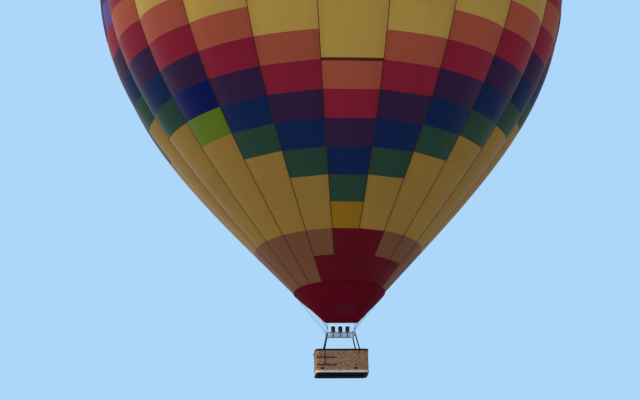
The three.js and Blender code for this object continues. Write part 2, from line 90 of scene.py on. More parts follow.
# Panels out of the pattern, by gores to the right of the near one and by row
ODD_PANELS = {(-3, 7): "lime", (-3, 8): "navy", (-5, 13): "violet", (0, 3): "fresh_yellow"}
ODD_PANELS.update({place: "crimson" for place in ((-1, 1), (0, 1), (1, 1), (2, 1), (3, 1), (0, 2), (1, 2))})
# Strips sewn across a gore: gore, lower row, upper row, colour
STRIPS = ((0, 7.945, 7.955, "tape"), (0, 7.955, 8.045, "rust"), (0, 8.045, 8.055, "tape"))

# Heights from the frame
MOUTH_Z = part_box("mouth_hem")[1].z + GAP
HEM_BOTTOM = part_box("mouth_hem")[0].z
FERRULE_RISE = 0.0603
FERRULE_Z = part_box("karabiner_front_left")[1].z + FERRULE_RISE
FRAME_Z = (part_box("gimbal_ring")[0].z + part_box("gimbal_ring")[1].z) / 2
RIM_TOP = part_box("rim_pad")[1].z
RIM_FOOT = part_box("rim_pad")[0].z
WALL_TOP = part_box("basket_wall")[1].z
WALL_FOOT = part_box("basket_wall")[0].z
BASKET_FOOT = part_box("basket_floor")[0].z
FLOOR_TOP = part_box("basket_floor")[1].z
BAND_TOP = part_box("hide_band")[1].z
HIDE_TOP = BAND_TOP - 0.03
STRAP_HEIGHTS = (RIM_TOP - 0.444, RIM_TOP - 0.826)

# Crown
VENT_EDGE_ROW = 23.6
VENT_PUFF = 0.045
VENT_GAP = 0.003
VENT_HOLE = 0.05
TAPE_THICK = 0.003
TAPE_LIFT = 0.003
CROWN_TAPE_LIFT = 0.0045
TAPE_OVERLAP_ROW = 23.88
CROWN_RING_RADIUS = 0.26
CROWN_RING_TUBE = 0.018
CROWN_RING_Z = (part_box("crown_ring")[0].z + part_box("crown_ring")[1].z) / 2
TURNING_VENT_GORE = 5
TURNING_VENT_ROWS = (12, 15)
TURNING_VENT_HALF = HALF_GORE / 3
TURNING_VENT_RADIUS = 12.4
EDGE_TAPE_HALF = 0.03
EDGE_TAPE_RADIUS = 12.2
EDGE_TAPE_LIFT = 0.013
FLAP_LIFT = 0.012
FLAP_THICK = 0.004

# Scoop
HEM_HALF = 0.045
HEM_LAP = 0.016
SCOOP_DROP = 0.89
SCOOP_SPAN = 96
SCOOP_POWER = 4.8
SCOOP_OUT = 0.026
SCOOP_COLUMNS = 141
SCOOP_LEAST = 0.06
SCOOP_SAG = 0.018

# Frame, gimbal and burners
CORNER_X = 0.7
CORNER_Y = 0.54
FRAME_HALF_X = 0.74
FRAME_HALF_Y = 0.58
FRAME_TUBE = 0.046
GIMBAL_HALF_X = 0.615
GIMBAL_HALF_Y = 0.3
GIMBAL_TUBE = 0.03
RACK_HALF_X = 0.54
RACK_HALF_Y = 0.15
RACK_TUBE = 0.026
BURNER_XS = (-0.37, 0.0, 0.37)
CAN_RADIUS = 0.108
CAN_HEIGHT = 0.32
CAN_FOOT = FRAME_Z + 0.12
CAN_HOLES = (0.1, 0.24)
CAN_RIBS = (0.34, 0.86)
CAN_LIP = 0.926
COIL_RADIUS = 0.084
COIL_RISE = 0.024
JET_RADIUS = 0.058
PIPE_ASIDE = 0.024

# Basket
BASKET_HALF_X = 1.35
BASKET_HALF_Y = 0.75
BASKET_CORNER = 0.21
WALL = 0.035
PARTITION_X = -0.43
PARTITION = 0.04
RIM_OUT = 0.022
RIM_TIES = 28
TIE_EVERY = 0.28
BAND_OUT = 0.0063
LACING_OUT = 0.0125
TRIM_OUT = 0.004
STEPS_TO_STAKE = 3
STAKE_RADIUS = 0.0062
STRAND_HALF = 0.0088
STRAND_SHARE = 0.61
WALL_SWING = 0.0085
PARTITION_SWING = 0.0095
WOVEN_SMOOTH = 60
STRAP_HALF = 0.026
CYLINDER_RADIUS = 0.178
UPRIGHT_FOOT_X = 0.89
UPRIGHT_FOOT_Y = 0.728
UPRIGHT_RADIUS = 0.034
CYLINDER_XS = (-1.08, -0.69)
CYLINDER_Y = 0.52
CORNERS = {"front_left": (-1, -1), "front_right": (1, -1), "rear_right": (1, 1), "rear_left": (-1, 1)}

# The photograph's camera, solved from the panels' corners
CAMERA_PLACE = (-7.479, -79.210, -38.266)
CAMERA_TURN = 0.0828
CAMERA_PITCH = 0.3178
CAMERA_ROLL = 0.0210
FOCAL_PIXELS = 1583
PHOTO_WIDTH = 640
SENSOR = 36
FLOOR_Z = -38.3
FLOOR_HALF = 3000

# Ways
RIGHT = np.array([1.0, 0, 0])
BACK = np.array([0, 1.0, 0])
UP = np.array([0, 0, 1.0])
ACROSS = np.array([-0.5, 0, 0.5])


def linear(*channels):
    """A colour given as 0 to 255, in the linear light that shaders use."""
    shares = (channel / 255 for channel in channels)
    return tuple(s / 12.92 if s <= 0.04045 else ((s + 0.055) / 1.055) ** 2.4 for s in shares)


def colour(name, description, *channels):
    """A colour that a user may change."""
    return bpy.props.FloatVectorProperty(
        name=name, description=description, subtype="COLOR", size=3, min=0, max=1, default=linear(*channels)
    )


def size(name, description, default):
    """A length in metres that a user may change."""
    return bpy.props.FloatProperty(name=name, description=description, default=default, min=0, unit="LENGTH")


def factor(name, description, default):
    """A strength or a share that a user may change."""
    return bpy.props.FloatProperty(
        name=name, description=description, default=default, min=0, subtype="FACTOR"
    )


class BalloonCloth(bpy.types.PropertyGroup):
    """Colours and widths of the envelope's cloth and webbing."""

    gold: colour("Gold", "Panels round the diamonds", 166, 127, 56)
    yellow: colour("Yellow", "Panels in the middle of a diamond", 204, 163, 76)
    orange: colour("Orange", "First ring of a diamond", 180, 86, 61)
    red: colour("Red", "Second ring of a diamond", 149, 29, 54)
    plum: colour("Plum", "Third ring of a diamond", 57, 29, 69)
    blue: colour("Blue", "Fourth ring of a diamond", 10, 38, 85)
    green: colour("Green", "Outer ring of a diamond", 41, 74, 56)
    tan: colour("Tan", "Two rows of fire resistant cloth at the mouth", 130, 82, 54)
    crimson: colour("Crimson", "Scoop, hem and the panels above them", 103, 3, 26)
    fresh_yellow: colour("Fresh yellow", "One newer panel under the near diamond", 160, 117, 17)
    lime: colour("Lime", "A replaced panel", 104, 128, 27)
    navy: colour("Navy", "A replaced panel", 2, 20, 91)
    violet: colour("Violet", "Turning vents", 98, 74, 138)
    rust: colour("Rust", "A sewn strip across the near gore", 92, 38, 24)
    tape: colour("Tape", "Load tapes on the seams", 70, 36, 24)
    tape_width: size("Tape width", "Width of a load tape", 0.034)
    panel_spread: factor("Panel spread", "How much panels of one colour differ in lightness", 0.035)


class BalloonSteel(bpy.types.PropertyGroup):
    """Finish of the frame, the wires and the burners."""

    steel: colour("Steel", "Frame and gimbal", 156, 157, 160)
    dark_steel: colour("Dark steel", "Burner cans and wires", 62, 62, 66)
    brass: colour("Brass", "Valves and fittings", 176, 138, 74)
    handle: colour("Handle", "Valve handles", 150, 22, 20)
    crown: colour("Crown ring", "Ring that the crown's tapes loop round", 200, 202, 204)
    bolts: colour("Bolts", "Bolt heads under the runners", 120, 120, 122)
    wire_width: size("Wire width", "Diameter of a flying wire", 0.009)
    coil_tube: size("Coil tube", "Diameter of the burners' coil tube", 0.012)


class BalloonBasket(bpy.types.PropertyGroup):
    """Colours and sizes of the basket."""

    cane: colour("Cane", "Woven willow and cane", 182, 140, 106)
    hide: colour("Hide", "Rawhide band round the foot", 240, 232, 220)
    padding: colour("Padding", "Leather of the rim, tops and sleeves", 24, 18, 19)
    strap: colour("Strap", "Cylinder straps and wire sheaths", 58, 30, 22)
    plywood: colour("Plywood", "Top of the floor", 176, 144, 98)
    # Near black under the floor and on the runners: partly dark stain, partly painted shade
    paint: colour("Underside paint", "Underside of the floor and the runners", 10, 11, 17)
    aluminium: colour("Aluminium", "Fuel cylinders", 200, 203, 205)
    stakes: bpy.props.IntProperty(
        name="Stakes", description="Upright stakes round the wall, an even number", default=96, min=8, step=2
    )
    cane_pitch: size("Cane pitch", "Height from one woven row to the next", 0.0264)


class BalloonStage(bpy.types.PropertyGroup):
    """Floor, backdrop and lamps."""

    floor: colour("Floor", "Pale studio floor", 214, 216, 218)
    backdrop: colour("Backdrop", "Pale backdrop behind the balloon", 172, 215, 250)
    fill: colour("Fill", "Tint of the soft light from all round", 226, 236, 250)
    fill_strength: factor("Fill strength", "Strength of the soft light from all round", 0.34)
    key_strength: factor("Key strength", "Strength of the main lamp", 1.9)
    second_strength: factor("Second lamp", "Strength of the weaker lamp from the camera's side", 0.58)


# Shader maths


def operation(name, turned_round=False):
    """A method that joins values by one maths node."""
    if turned_round:
        return lambda self, other: self.shader.maths(name, other, self)
    return lambda self, *others: self.shader.maths(name, self, *others)


class Value:
    """A node's output, so that shader maths reads as an expression."""

    __add__, __radd__ = operation("ADD"), operation("ADD", True)
    __sub__, __rsub__ = operation("SUBTRACT"), operation("SUBTRACT", True)
    __mul__, __rmul__ = operation("MULTIPLY"), operation("MULTIPLY", True)
    __truediv__ = operation("DIVIDE")
    __abs__ = operation("ABSOLUTE")
    wave = operation("SINE")
    fraction = operation("FRACT")
    most = operation("MAXIMUM")

    def __init__(self, shader, socket):
        self.shader = shader
        self.socket = socket

    def between(self, low, high):
        """0 at low, 1 at high, and smooth between them."""
        settings = {"interpolation_type": "SMOOTHSTEP"}
        node = self.shader.node("MapRange", settings, Value=self, From_Min=low, From_Max=high)
        return Value(self.shader, node.outputs["Result"])


class Shader:
    """One material, made round a Principled shader."""

    def __init__(self, name, roughness=0.6, **plain):
        self.material = bpy.data.materials.new(name)
        self.material.use_nodes = True
        self.tree = self.material.node_tree
        self.surface = self.tree.nodes["Principled BSDF"]
        self.set(Roughness=roughness, **plain)

    def feed(self, socket, value):
        if isinstance(value, Value):
            self.tree.links.new(value.socket, socket)
        elif isinstance(value, bpy.types.NodeSocket):
            self.tree.links.new(value, socket)
        elif socket.type == "RGBA" and len(value) == 3:
            socket.default_value = (*value, 1)
        else:
            socket.default_value = value

    def set(self, **sockets):
        """Values or links for the Principled shader's sockets."""
        for name, value in sockets.items():
            self.feed(self.surface.inputs[name.replace("_", " ")], value)

    def node(self, kind, settings=None, *values, **named):
        """A node with its settings, then its sockets' values or links, in order or by name."""
        node = self.tree.nodes.new(f"ShaderNode{kind}")
        for name, value in (settings or {}).items():
            setattr(node, name, value)
        for socket, value in zip(node.inputs, values):
            self.feed(socket, value)
        for name, value in named.items():
            self.feed(node.inputs[name.replace("_", " ")], value)
        return node

    def maths(self, operation, *values):
        return Value(self, self.node("Math", {"operation": operation}, *values).outputs["Value"])

    def mix(self, by, first, second, blend="MIX"):
        """Two colours mixed, as a socket."""
        node = self.node("Mix", {"data_type": "RGBA", "blend_type": blend})
        for index, value in ((0, by), (6, first), (7, second)):
            self.feed(node.inputs[index], value)
        return node.outputs[2]

    def tint(self, tone, shade):
        """A colour made lighter or darker by a number."""
        grey = self.node("CombineColor", None, tone, tone, tone).outputs["Color"]
        return self.mix(1.0, shade, grey, "MULTIPLY")

    def place(self):
        return self.node("TexCoord").outputs["Object"]

    def map(self, name):
        return self.node("UVMap", {"uv_map": name}).outputs["UV"]

    def split(self, vector):
        """The three numbers of a vector."""
        node = self.node("SeparateXYZ", None, vector)
        return [Value(self, output) for output in node.outputs]

    def attribute(self, name, output="Color"):
        socket = self.node("Attribute", {"attribute_name": name}).outputs[output]
        return Value(self, socket) if output == "Fac" else socket

    def stretch(self, vector, *scale):
        """Coordinates scaled apart along each axis."""
        return self.node("Mapping", None, Vector=vector, Scale=scale).outputs["Vector"]

    def noise(self, vector, scale, detail=2.0, rough=0.5):
        node = self.node("TexNoise", None, Vector=vector, Scale=scale, Detail=detail, Roughness=rough)
        return Value(self, node.outputs["Fac"])

    def cells(self, vector, scale):
        return Value(self, self.node("TexVoronoi", None, Vector=vector, Scale=scale).outputs["Distance"])

    def glow(self, shade, strength):
        """Painted glow: emission in the cloth's colour that stands in for sunlight shining through the cloth.
        """
        if strength:
            self.set(Emission_Color=shade, Emission_Strength=strength)
            self.material.cycles.emission_sampling = "NONE"

    def bump(self, height, strength):
        """Relief, as a height in metres."""
        node = self.node("Bump", None, Height=height, Strength=strength, Distance=1.0)
        self.set(Normal=node.outputs["Normal"])


def ripstop(across, along, pitch=0.008):
    """Raised threads of a ripstop weave, both ways."""
    across_thread = abs((across / pitch).fraction() - 0.5).between(0.36, 0.5)
    along_thread = abs((along / pitch).fraction() - 0.5).between(0.36, 0.5)
    return across_thread.most(along_thread) * RIPSTOP_HEIGHT


def envelope_fabric(name, painted_glow_strength=0.0):
    """Coated nylon in the panels' colours, with sewn row seams, puckers along the tapes and painted shade in
    the valleys beside the tapes.
    """
    shader = Shader(name, Specular_IOR_Level=0.08, Sheen_Weight=0.2, Sheen_Roughness=0.35)
    cloth = shader.map("cloth")
    across, along, _ = shader.split(cloth)
    share, row, _ = shader.split(shader.map("panel"))
    to_seam = 0.5 - abs(row.fraction() - 0.5)
    seam = 1 - to_seam.between(0.004, 0.012)
    fold = 1 - to_seam.between(0.0, 0.035)
    to_tape = 1 - abs(share)
    beside_tape = 1 - to_tape.between(0.02, 0.3)
    clouds = shader.noise(cloth, 0.35, 3.0)
    streaks = shader.noise(shader.stretch(cloth, 1.6, 0.09, 1), 1.0, 2.0)
    # Darker at the sewn row seams, and darker by 6% beside the tapes: painted shade in the valleys between
    # the gores
    tone = (0.88 + 0.14 * clouds + 0.10 * streaks) * (1 - 0.12 * seam) * (1 - 0.06 * beside_tape)
    shade = shader.tint(tone, shader.attribute("panel_colour"))
    shader.set(Base_Color=shade, Roughness=0.52 + 0.16 * clouds)
    shader.glow(shade, painted_glow_strength)
    waver = shader.noise(cloth, 0.8, 1.0)
    coarse, fine = (along * 15 + waver * 7).wave() * 0.006, (along * 37 + waver * 11).wave() * 0.002
    puckers = (coarse + fine) * beside_tape
    creases = shader.noise(shader.stretch(cloth, 2.2, 0.5, 1), 1.0, 3.0) * 0.012
    shader.bump(puckers + creases + fold * 0.002 + ripstop(across, along), 0.8)
    return shader.material


def plain_fabric(name, shade, painted_glow_strength=0.0):
    """One colour of cloth with soft folds and a ripstop weave."""
    shader = Shader(name, Specular_IOR_Level=0.08)
    cloth = shader.map("cloth")
    across, along, _ = shader.split(cloth)
    clouds = shader.noise(cloth, 0.9, 3.0)
    shade = shader.tint(0.86 + 0.26 * clouds, shade)
    shader.set(Base_Color=shade, Roughness=0.52 + 0.16 * clouds)
    shader.glow(shade, painted_glow_strength)
    creases = shader.noise(shader.stretch(cloth, 3.0, 1.2, 1), 1.0, 3.0) * 0.010
    shader.bump(creases + ripstop(across, along), 0.7)
    return shader.material


def scoop_fabric(shade):
    """Fire resistant cloth, with a darker purplish blotch low in its middle."""
    shader = Shader("scoop_fabric", Specular_IOR_Level=0.06)
    cloth = shader.map("cloth")
    across, along, _ = shader.split(cloth)
    clouds = shader.noise(cloth, 1.1, 3.0)
    # A darker purplish blotch low in the middle of the scoop
    dark_patch = (1 - abs(across - 0.1).between(0.1, 0.8)) * (1 - abs(along - 1.6).between(0.1, 0.6))
    blotched = shader.mix(dark_patch * clouds.between(0.3, 0.7) * 0.35, shade, (0.05, 0.02, 0.045))
    panels = 1 - (0.5 - abs((across / 0.75 + 0.5).fraction() - 0.5)).between(0.006, 0.03)
    shader.set(Base_Color=shader.tint((0.84 + 0.3 * clouds) * (1 - 0.25 * panels), blotched))
    shader.set(Roughness=0.62 + 0.14 * clouds)
    creases = shader.noise(shader.stretch(cloth, 2.6, 0.8, 1), 1.0, 3.0) * 0.016
    shader.bump(creases + panels * 0.003 + ripstop(across, along, 0.006), 0.8)
    return shader.material


def webbing(name, shade):
    """Woven tape with ribs across it and firmer edges."""
    shader = Shader(name, 0.8, Specular_IOR_Level=0.12)
    across, along, _ = shader.split(shader.map("cloth"))
    ribs = (along * (2 * math.pi / 0.004)).wave()
    cords = (across * (2 * math.pi / 0.009)).wave()
    wear = shader.noise(shader.map("cloth"), 6.0, 3.0)
    shader.set(Base_Color=shader.tint(0.74 + 0.42 * wear + 0.08 * cords, shade))
    shader.set(Roughness=0.72 + 0.16 * wear)
    shader.bump(ribs * 0.0002 + cords * 0.0004 + wear * 0.001, 0.8)
    return shader.material


def brushed_steel(name, shade, roughness=0.3, stain=0.0):
    """Steel with fine brushing, and heat stains where stain is above 0."""
    shader = Shader(name, Metallic=1.0)
    place = shader.place()
    fine = shader.noise(shader.stretch(place, 60, 60, 900), 1.0, 2.0)
    marks = shader.noise(place, 14.0, 4.0)
    base = shader.tint(0.82 + 0.14 * fine + 0.18 * marks, shade)
    if stain:
        straw = shader.mix(marks.between(0.45, 0.75), (0.30, 0.17, 0.07), (0.07, 0.08, 0.16))
        base = shader.mix(marks.between(0.35, 0.65) * stain, base, straw)
    shader.set(Base_Color=base, Roughness=roughness + 0.14 * marks + 0.08 * fine)
    shader.bump(fine * 0.0002 + marks * 0.0006, 0.6)
    return shader.material


def enamel(name, shade):
    """Glossy paint or moulded plastic with slight wear."""
    shader = Shader(name, Coat_Weight=0.2)
    place = shader.place()
    marks = shader.noise(place, 22.0, 4.0)
    shader.set(Base_Color=shader.tint(0.8 + 0.3 * marks, shade), Roughness=0.3 + 0.25 * marks)
    shader.bump(shader.noise(place, 160.0, 2.0) * 0.0003, 0.5)
    return shader.material


def leather(name, shade):
    """Grained leather, paler where it is rubbed."""
    shader = Shader(name, Specular_IOR_Level=0.12)
    place = shader.place()
    grain = shader.cells(place, 170.0)
    folds = shader.noise(place, 9.0, 4.0)
    rubbed = folds.between(0.5, 0.75)
    shader.set(Base_Color=shader.tint(0.7 + 0.5 * folds + 0.7 * rubbed, shade))
    shader.set(Roughness=0.48 + 0.2 * folds - 0.08 * grain)
    shader.bump(grain * 0.0008 + folds * 0.004, 0.7)
    return shader.material


def wicker(shade):
    """Varnished cane: each strand has its own tone, with fibres along it."""
    shader = Shader("wicker", Coat_Roughness=0.35, Specular_IOR_Level=0.45)
    cane = shader.map("cane")
    tone = shader.attribute("tone", "Fac")
    fibres = shader.noise(shader.stretch(cane, 7.0, 120.0, 1), 1.0, 3.0)
    drift = shader.noise(shader.place(), 2.2, 3.0)
    patches = shader.noise(shader.place(), 11.0, 1.0).between(0.38, 0.62)
    warm = shader.mix(drift.between(0.4, 0.72), shade, (0.50, 0.25, 0.11))
    shader.set(Base_Color=shader.tint((0.55 + 0.42 * tone + 0.34 * fibres) * (0.62 + 0.62 * patches), warm))
    shader.set(Roughness=0.42 + 0.24 * fibres, Coat_Weight=0.10 + 0.15 * drift)
    shader.bump(fibres * 0.0012, 0.8)
    return shader.material


def hide(shade):
    """Pale rawhide, mottled and scuffed."""
    shader = Shader("hide", Specular_IOR_Level=0.4)
    place = shader.place()
    clouds = shader.noise(place, 5.0, 4.0)
    scuffs = shader.noise(shader.stretch(place, 8, 8, 50), 1.0, 3.0).between(0.58, 0.78)
    tanned = shader.mix(clouds.between(0.5, 0.8), shade, (0.62, 0.50, 0.36))
    shader.set(Base_Color=shader.tint(1.06 - 0.12 * clouds - 0.22 * scuffs, tanned))
    shader.set(Roughness=0.5 + 0.2 * clouds)
    shader.bump(clouds * 0.003 + shader.cells(place, 220.0) * 0.0005, 0.6)
    return shader.material


def wood(name, shade, grain=1.0, shine=0.35):
    """Planed board with grain along X, worn in places."""
    shader = Shader(name, Specular_IOR_Level=shine)
    place = shader.place()
    rings = shader.noise(shader.stretch(place, 1.4, 16, 16), 1.0, 5.0, 0.6)
    scuffs = shader.noise(place, 7.0, 4.0).between(0.52, 0.72)
    shader.set(Base_Color=shader.tint(0.72 + 0.5 * grain * rings + 0.25 * scuffs, shade))
    shader.set(Roughness=0.5 + 0.25 * rings)
    shader.bump(rings * 0.0012, 0.7)
    return shader.material


# The skin of the envelope


def slope_at(row):
    """Slope of the skin in radians up from level, on a smooth curve through SLOPES."""
    place = np.clip(np.asarray(row, float) / SLOPE_EVERY, 0, len(SLOPES) - 1)
    low = np.minimum(place.astype(int), len(SLOPES) - 1)
    t = place - low
    slopes = np.array(SLOPES, float)
    last = len(SLOPES) - 1
    before, here = slopes[np.maximum(low - 1, 0)], slopes[low]
    after, beyond = slopes[np.minimum(low + 1, last)], slopes[np.minimum(low + 2, last)]
    enter, leave = (after - before) / 2, (beyond - here) / 2
    cubic = (2 * here - 2 * after + enter + leave) * t**3
    square = (-3 * here + 3 * after - 2 * enter - leave) * t**2
    return np.radians(cubic + square + enter * t + here)


def walk_profile():
    """Radius and height above the mouth, walked up the skin in small steps."""
    places = (np.arange(LAST_ROW * STEPS_PER_ROW) + 0.5) / STEPS_PER_ROW
    steps = np.where(places < 1, MOUTH_ROW_HEIGHT, ROW_HEIGHT) / STEPS_PER_ROW
    slopes = slope_at(places)
    radii = MOUTH_RADIUS + np.concatenate(([0], np.cumsum(steps * np.cos(slopes))))
    heights = np.concatenate(([0], np.cumsum(steps * np.sin(slopes))))
    return radii, heights


STATIONS = np.arange(LAST_ROW * STEPS_PER_ROW + 1) / STEPS_PER_ROW
RADII, HEIGHTS = walk_profile()


def run_at(row):
    """Way up the skin from the mouth, in metres."""
    return np.where(row < 1, row * MOUTH_ROW_HEIGHT, MOUTH_ROW_HEIGHT + (row - 1) * ROW_HEIGHT)


def skin(row, angle, depth=0.0, turn=0.0):
    """Places on the skin: angle and turn in degrees from the gore's middle and from the near side."""
    row, angle, depth = np.broadcast_arrays(np.asarray(row, float), angle, depth)
    slope = slope_at(row)
    fade = np.sin(np.pi * np.minimum(row, ROWS) / ROWS) ** BULGE_POWER
    bulge = BULGE * fade * (1 - (angle / HALF_GORE) ** 2)
    out = np.interp(row, STATIONS, RADII) + (bulge - depth) * np.sin(slope)
    z = MOUTH_Z + np.interp(row, STATIONS, HEIGHTS) - (bulge - depth) * np.cos(slope)
    a = np.radians(angle + turn)
    return np.stack((out * np.sin(a), -out * np.cos(a), z), -1)


def cage(angle, share, out):
    """Places on the cage of flying wires, from the hem (share 0) to the ferrules (share 1)."""
    angle, share, out = np.broadcast_arrays(np.asarray(angle, float), share, out)
    a = np.radians(angle)
    turn = np.abs(angle)
    last_wire = 90 - HALF_GORE
    foot_x = np.sign(angle) * CORNER_X * np.minimum(turn / HALF_GORE, 1)
    foot_y = -CORNER_Y + CORNER_Y * np.maximum(turn - last_wire, 0) / HALF_GORE
    reach = 1 + 2 * out / math.hypot(CORNER_X, CORNER_Y)
    top = (MOUTH_RADIUS + out)[..., None] * np.stack((np.sin(a), -np.cos(a)), -1)
    foot = reach[..., None] * np.stack((foot_x, foot_y), -1)
    level = top + (foot - top) * share[..., None]
    z = HEM_BOTTOM - GAP + (FERRULE_Z - HEM_BOTTOM + GAP) * share
    return np.concatenate((level, z[..., None]), -1)


# Making meshes


def pairs(first, second):
    """Two grids of numbers as one grid of pairs."""
    return np.stack(np.broadcast_arrays(first, second), -1)


def unit(ways):
    """Ways one metre long."""
    return ways / np.linalg.norm(ways, axis=-1, keepdims=True)


def way_along(points):
    """Metres from the first of a line of points to each of them."""
    steps = np.linalg.norm(np.diff(points, axis=0), axis=-1)
    return np.concatenate((np.zeros_like(steps[:1]), np.cumsum(steps, axis=0)))


def lifted(flat, z):
    """Level points at one height, or at one height each."""
    return np.concatenate((flat, np.broadcast_to(np.asarray(z, float).reshape(-1, 1), (len(flat), 1))), 1)


def drawn_in(turns, depth, width):
    """A share of full thickness that dips by depth in the middle of every turn."""
    return 1 - depth * np.exp(-(((turns % 1) - 0.5) / width) ** 2)


class Build:
    """Gathers grids of faces, with their maps, into one mesh."""

    def __init__(self):
        self.points = []
        self.faces = []
        self.maps = {}
        self.count = 0

    def grid(self, points, closed_up=False, closed_across=False, **maps):
        """Faces over a grid of points (up, across, 3), and its first point's number. A closed grid
        repeats its first row or column last."""
        up, across = points.shape[0] - 1, points.shape[1] - 1
        kept = points[: up if closed_up else up + 1, : across if closed_across else across + 1]
        rows, columns = kept.shape[:2]
        i, j = np.meshgrid(np.arange(up), np.arange(across), indexing="ij")
        corner_i = np.stack((i, i, i + 1, i + 1), -1).reshape(-1, 4)
        corner_j = np.stack((j, j + 1, j + 1, j), -1).reshape(-1, 4)
        self.faces.extend((self.count + corner_i % rows * columns + corner_j % columns).tolist())
        self.points.append(kept.reshape(-1, 3))
        for name, values in maps.items():
            self.maps.setdefault(name, []).append(values[corner_i, corner_j].reshape(-1, values.shape[-1]))
        self.count += rows * columns
        return self.count - rows * columns

    def cap(self, indices, **maps):
        """One face over points that are already there."""
        self.faces.append(list(indices))
        for name, value in maps.items():
            self.maps[name].append(np.tile(np.asarray(value, float), (len(self.faces[-1]), 1)))

    def shell(self, outer, inner, closed_across=False, **maps):
        """A closed sheet between two grids. Up runs along the first axis, across to the right."""
        up = outer.shape[0] - 1
        around = np.concatenate((outer, inner[::-1], outer[:1]))
        wrapped = {name: np.concatenate((v, v[::-1], v[:1])) for name, v in maps.items()}
        first = self.grid(around, closed_up=True, closed_across=closed_across, **wrapped)
        if closed_across:
            return
        columns = outer.shape[1]
        for side in (0, columns - 1):
            for i in range(up):
                loop = [i, i + 1, 2 * up - i, 2 * up + 1 - i]
                values = {name: v[i, side] for name, v in maps.items()}
                self.cap([first + k * columns + side for k in loop], **values)

    def tube(self, path, outward, upward, section, closed=False, name="cloth", start=0.0, **even):
        """A section of (out, up) pairs swept along a path, mapped in metres along it and turns round it."""
        outward, upward = np.broadcast_to(outward, path.shape), np.broadcast_to(upward, path.shape)
        sides = len(section)
        loop = np.concatenate((section, section[:1]))
        points = path[:, None] + outward[:, None] * loop[:, :1] + upward[:, None] * loop[:, 1:]
        maps = {name: pairs(start + way_along(path)[:, None], np.arange(sides + 1) / sides)}
        maps.update({key: np.full((len(path), sides + 1, 1), value) for key, value in even.items()})
        first = self.grid(points, closed_up=closed, closed_across=True, **maps)
        if closed:
            return
        for corner, row in ((first, 0), (first + (len(path) - 1) * sides, -1)):
            self.cap(range(corner, corner + sides), **{key: v[row, 0] for key, v in maps.items()})

    def make(self, name, smooth=50):
        """The gathered mesh as one piece, smooth across edges of up to this many degrees."""
        mesh = bpy.data.meshes.new(name)
        mesh.from_pydata(np.concatenate(self.points).tolist(), [], self.faces)
        for map_name, parts in self.maps.items():
            values = np.concatenate(parts).astype(np.float32)
            if values.shape[1] == 2:
                mesh.uv_layers.new(name=map_name).data.foreach_set("uv", values.ravel())
            elif values.shape[1] == 1:
                mesh.attributes.new(map_name, "FLOAT", "CORNER").data.foreach_set("value", values.ravel())
            else:
                four = np.concatenate((values, np.ones((len(values), 1), np.float32)), 1)
                mesh.attributes.new(map_name, "FLOAT_COLOR", "CORNER").data.foreach_set("color", four.ravel())
        outwards(mesh)
        piece = bpy.data.objects.new(name, mesh)
        bpy.context.scene.collection.objects.link(piece)
        soften(piece, smooth)
        return piece


def outwards(mesh):
    """Turns every closed body's faces outwards."""
    work = bmesh.new()
    work.from_mesh(mesh)
    bmesh.ops.recalc_face_normals(work, faces=work.faces)
    work.to_mesh(mesh)
    work.free()


@contextmanager
def editing(select="SELECT"):
    """Edit mode for a while, with everything selected or nothing."""
    bpy.ops.object.mode_set(mode="EDIT")
    bpy.ops.mesh.select_all(action=select)
    yield
    bpy.ops.object.mode_set(mode="OBJECT")


def add(primitive, **settings):
    """A new piece from one of Blender's primitives, selected alone."""
    bpy.ops.object.select_all(action="DESELECT")
    primitive(**settings)
    return bpy.context.object


def modified(piece, kind, **settings):
    """A piece with a modifier applied to it."""
    only(piece)
    modifier = piece.modifiers.new(kind, kind)
    for name, value in settings.items():
        setattr(modifier, name, value)
    bpy.ops.object.modifier_apply(modifier=modifier.name)
    return piece


def only(piece):
    """Selects one object and nothing else."""
    bpy.ops.object.select_all(action="DESELECT")
    piece.select_set(True)
    bpy.context.view_layer.objects.active = piece


def soften(piece, angle):
    """Smooth shading across edges of up to an angle in degrees."""
    only(piece)
    bpy.ops.object.shade_smooth_by_angle(angle=math.radians(angle))


def settle(piece, name, angle=35):
    """Puts a modelled piece's place in its mesh, names it and smooths it."""
    only(piece)
    bpy.ops.object.transform_apply(location=True, rotation=True, scale=True)
    with editing():
        bpy.ops.mesh.normals_make_consistent(inside=False)
    piece.name = name
    piece.data.name = name
    soften(piece, angle)
    return piece


def join(pieces, name, angle=35):
    """Several modelled pieces made one."""
    bpy.ops.object.select_all(action="DESELECT")
    for piece in pieces:
        piece.select_set(True)
    bpy.context.view_layer.objects.active = pieces[0]
    bpy.ops.object.join()
    return settle(bpy.context.object, name, angle)


def pick(piece, test):
    """In edit mode, selects the faces whose middle passes a test."""
    work = bmesh.from_edit_mesh(piece.data)
    for face in work.faces:
        face.select_set(bool(test(face.calc_center_median())))
    work.select_flush_mode()
    bmesh.update_edit_mesh(piece.data)


def bevelled(piece, width, segments=2):
    """Rounds a modelled piece's edges."""
    return modified(piece, "BEVEL", width=width, segments=segments, limit_method="ANGLE")


def block(centre, sizes, width=0.003, segments=2):
    """A box with rounded edges."""
    piece = add(bpy.ops.mesh.primitive_cube_add, size=1, location=centre, scale=sizes)
    bpy.ops.object.transform_apply(location=False, rotation=False, scale=True)
    return bevelled(piece, width, segments)


def turned(profile, sides=32, x=0.0, y=0.0, z=0.0):
    """A piece turned about an upright axis, from (radius, height) pairs: a disc drawn up step by step."""
    profile = [(radius, z + height) for radius, height in profile]
    radius, low = profile[0]
    disc = bpy.ops.mesh.primitive_circle_add
    piece = add(disc, vertices=sides, radius=radius, fill_type="NGON", location=(x, y, low))
    with editing():
        for (r0, z0), (r1, z1) in zip(profile, profile[1:]):
            bpy.ops.mesh.extrude_region_move(TRANSFORM_OT_translate={"value": (0, 0, z1 - z0)})
            bpy.ops.transform.resize(value=(r1 / r0, r1 / r0, 1), center_override=(x, y, z1))
    return piece


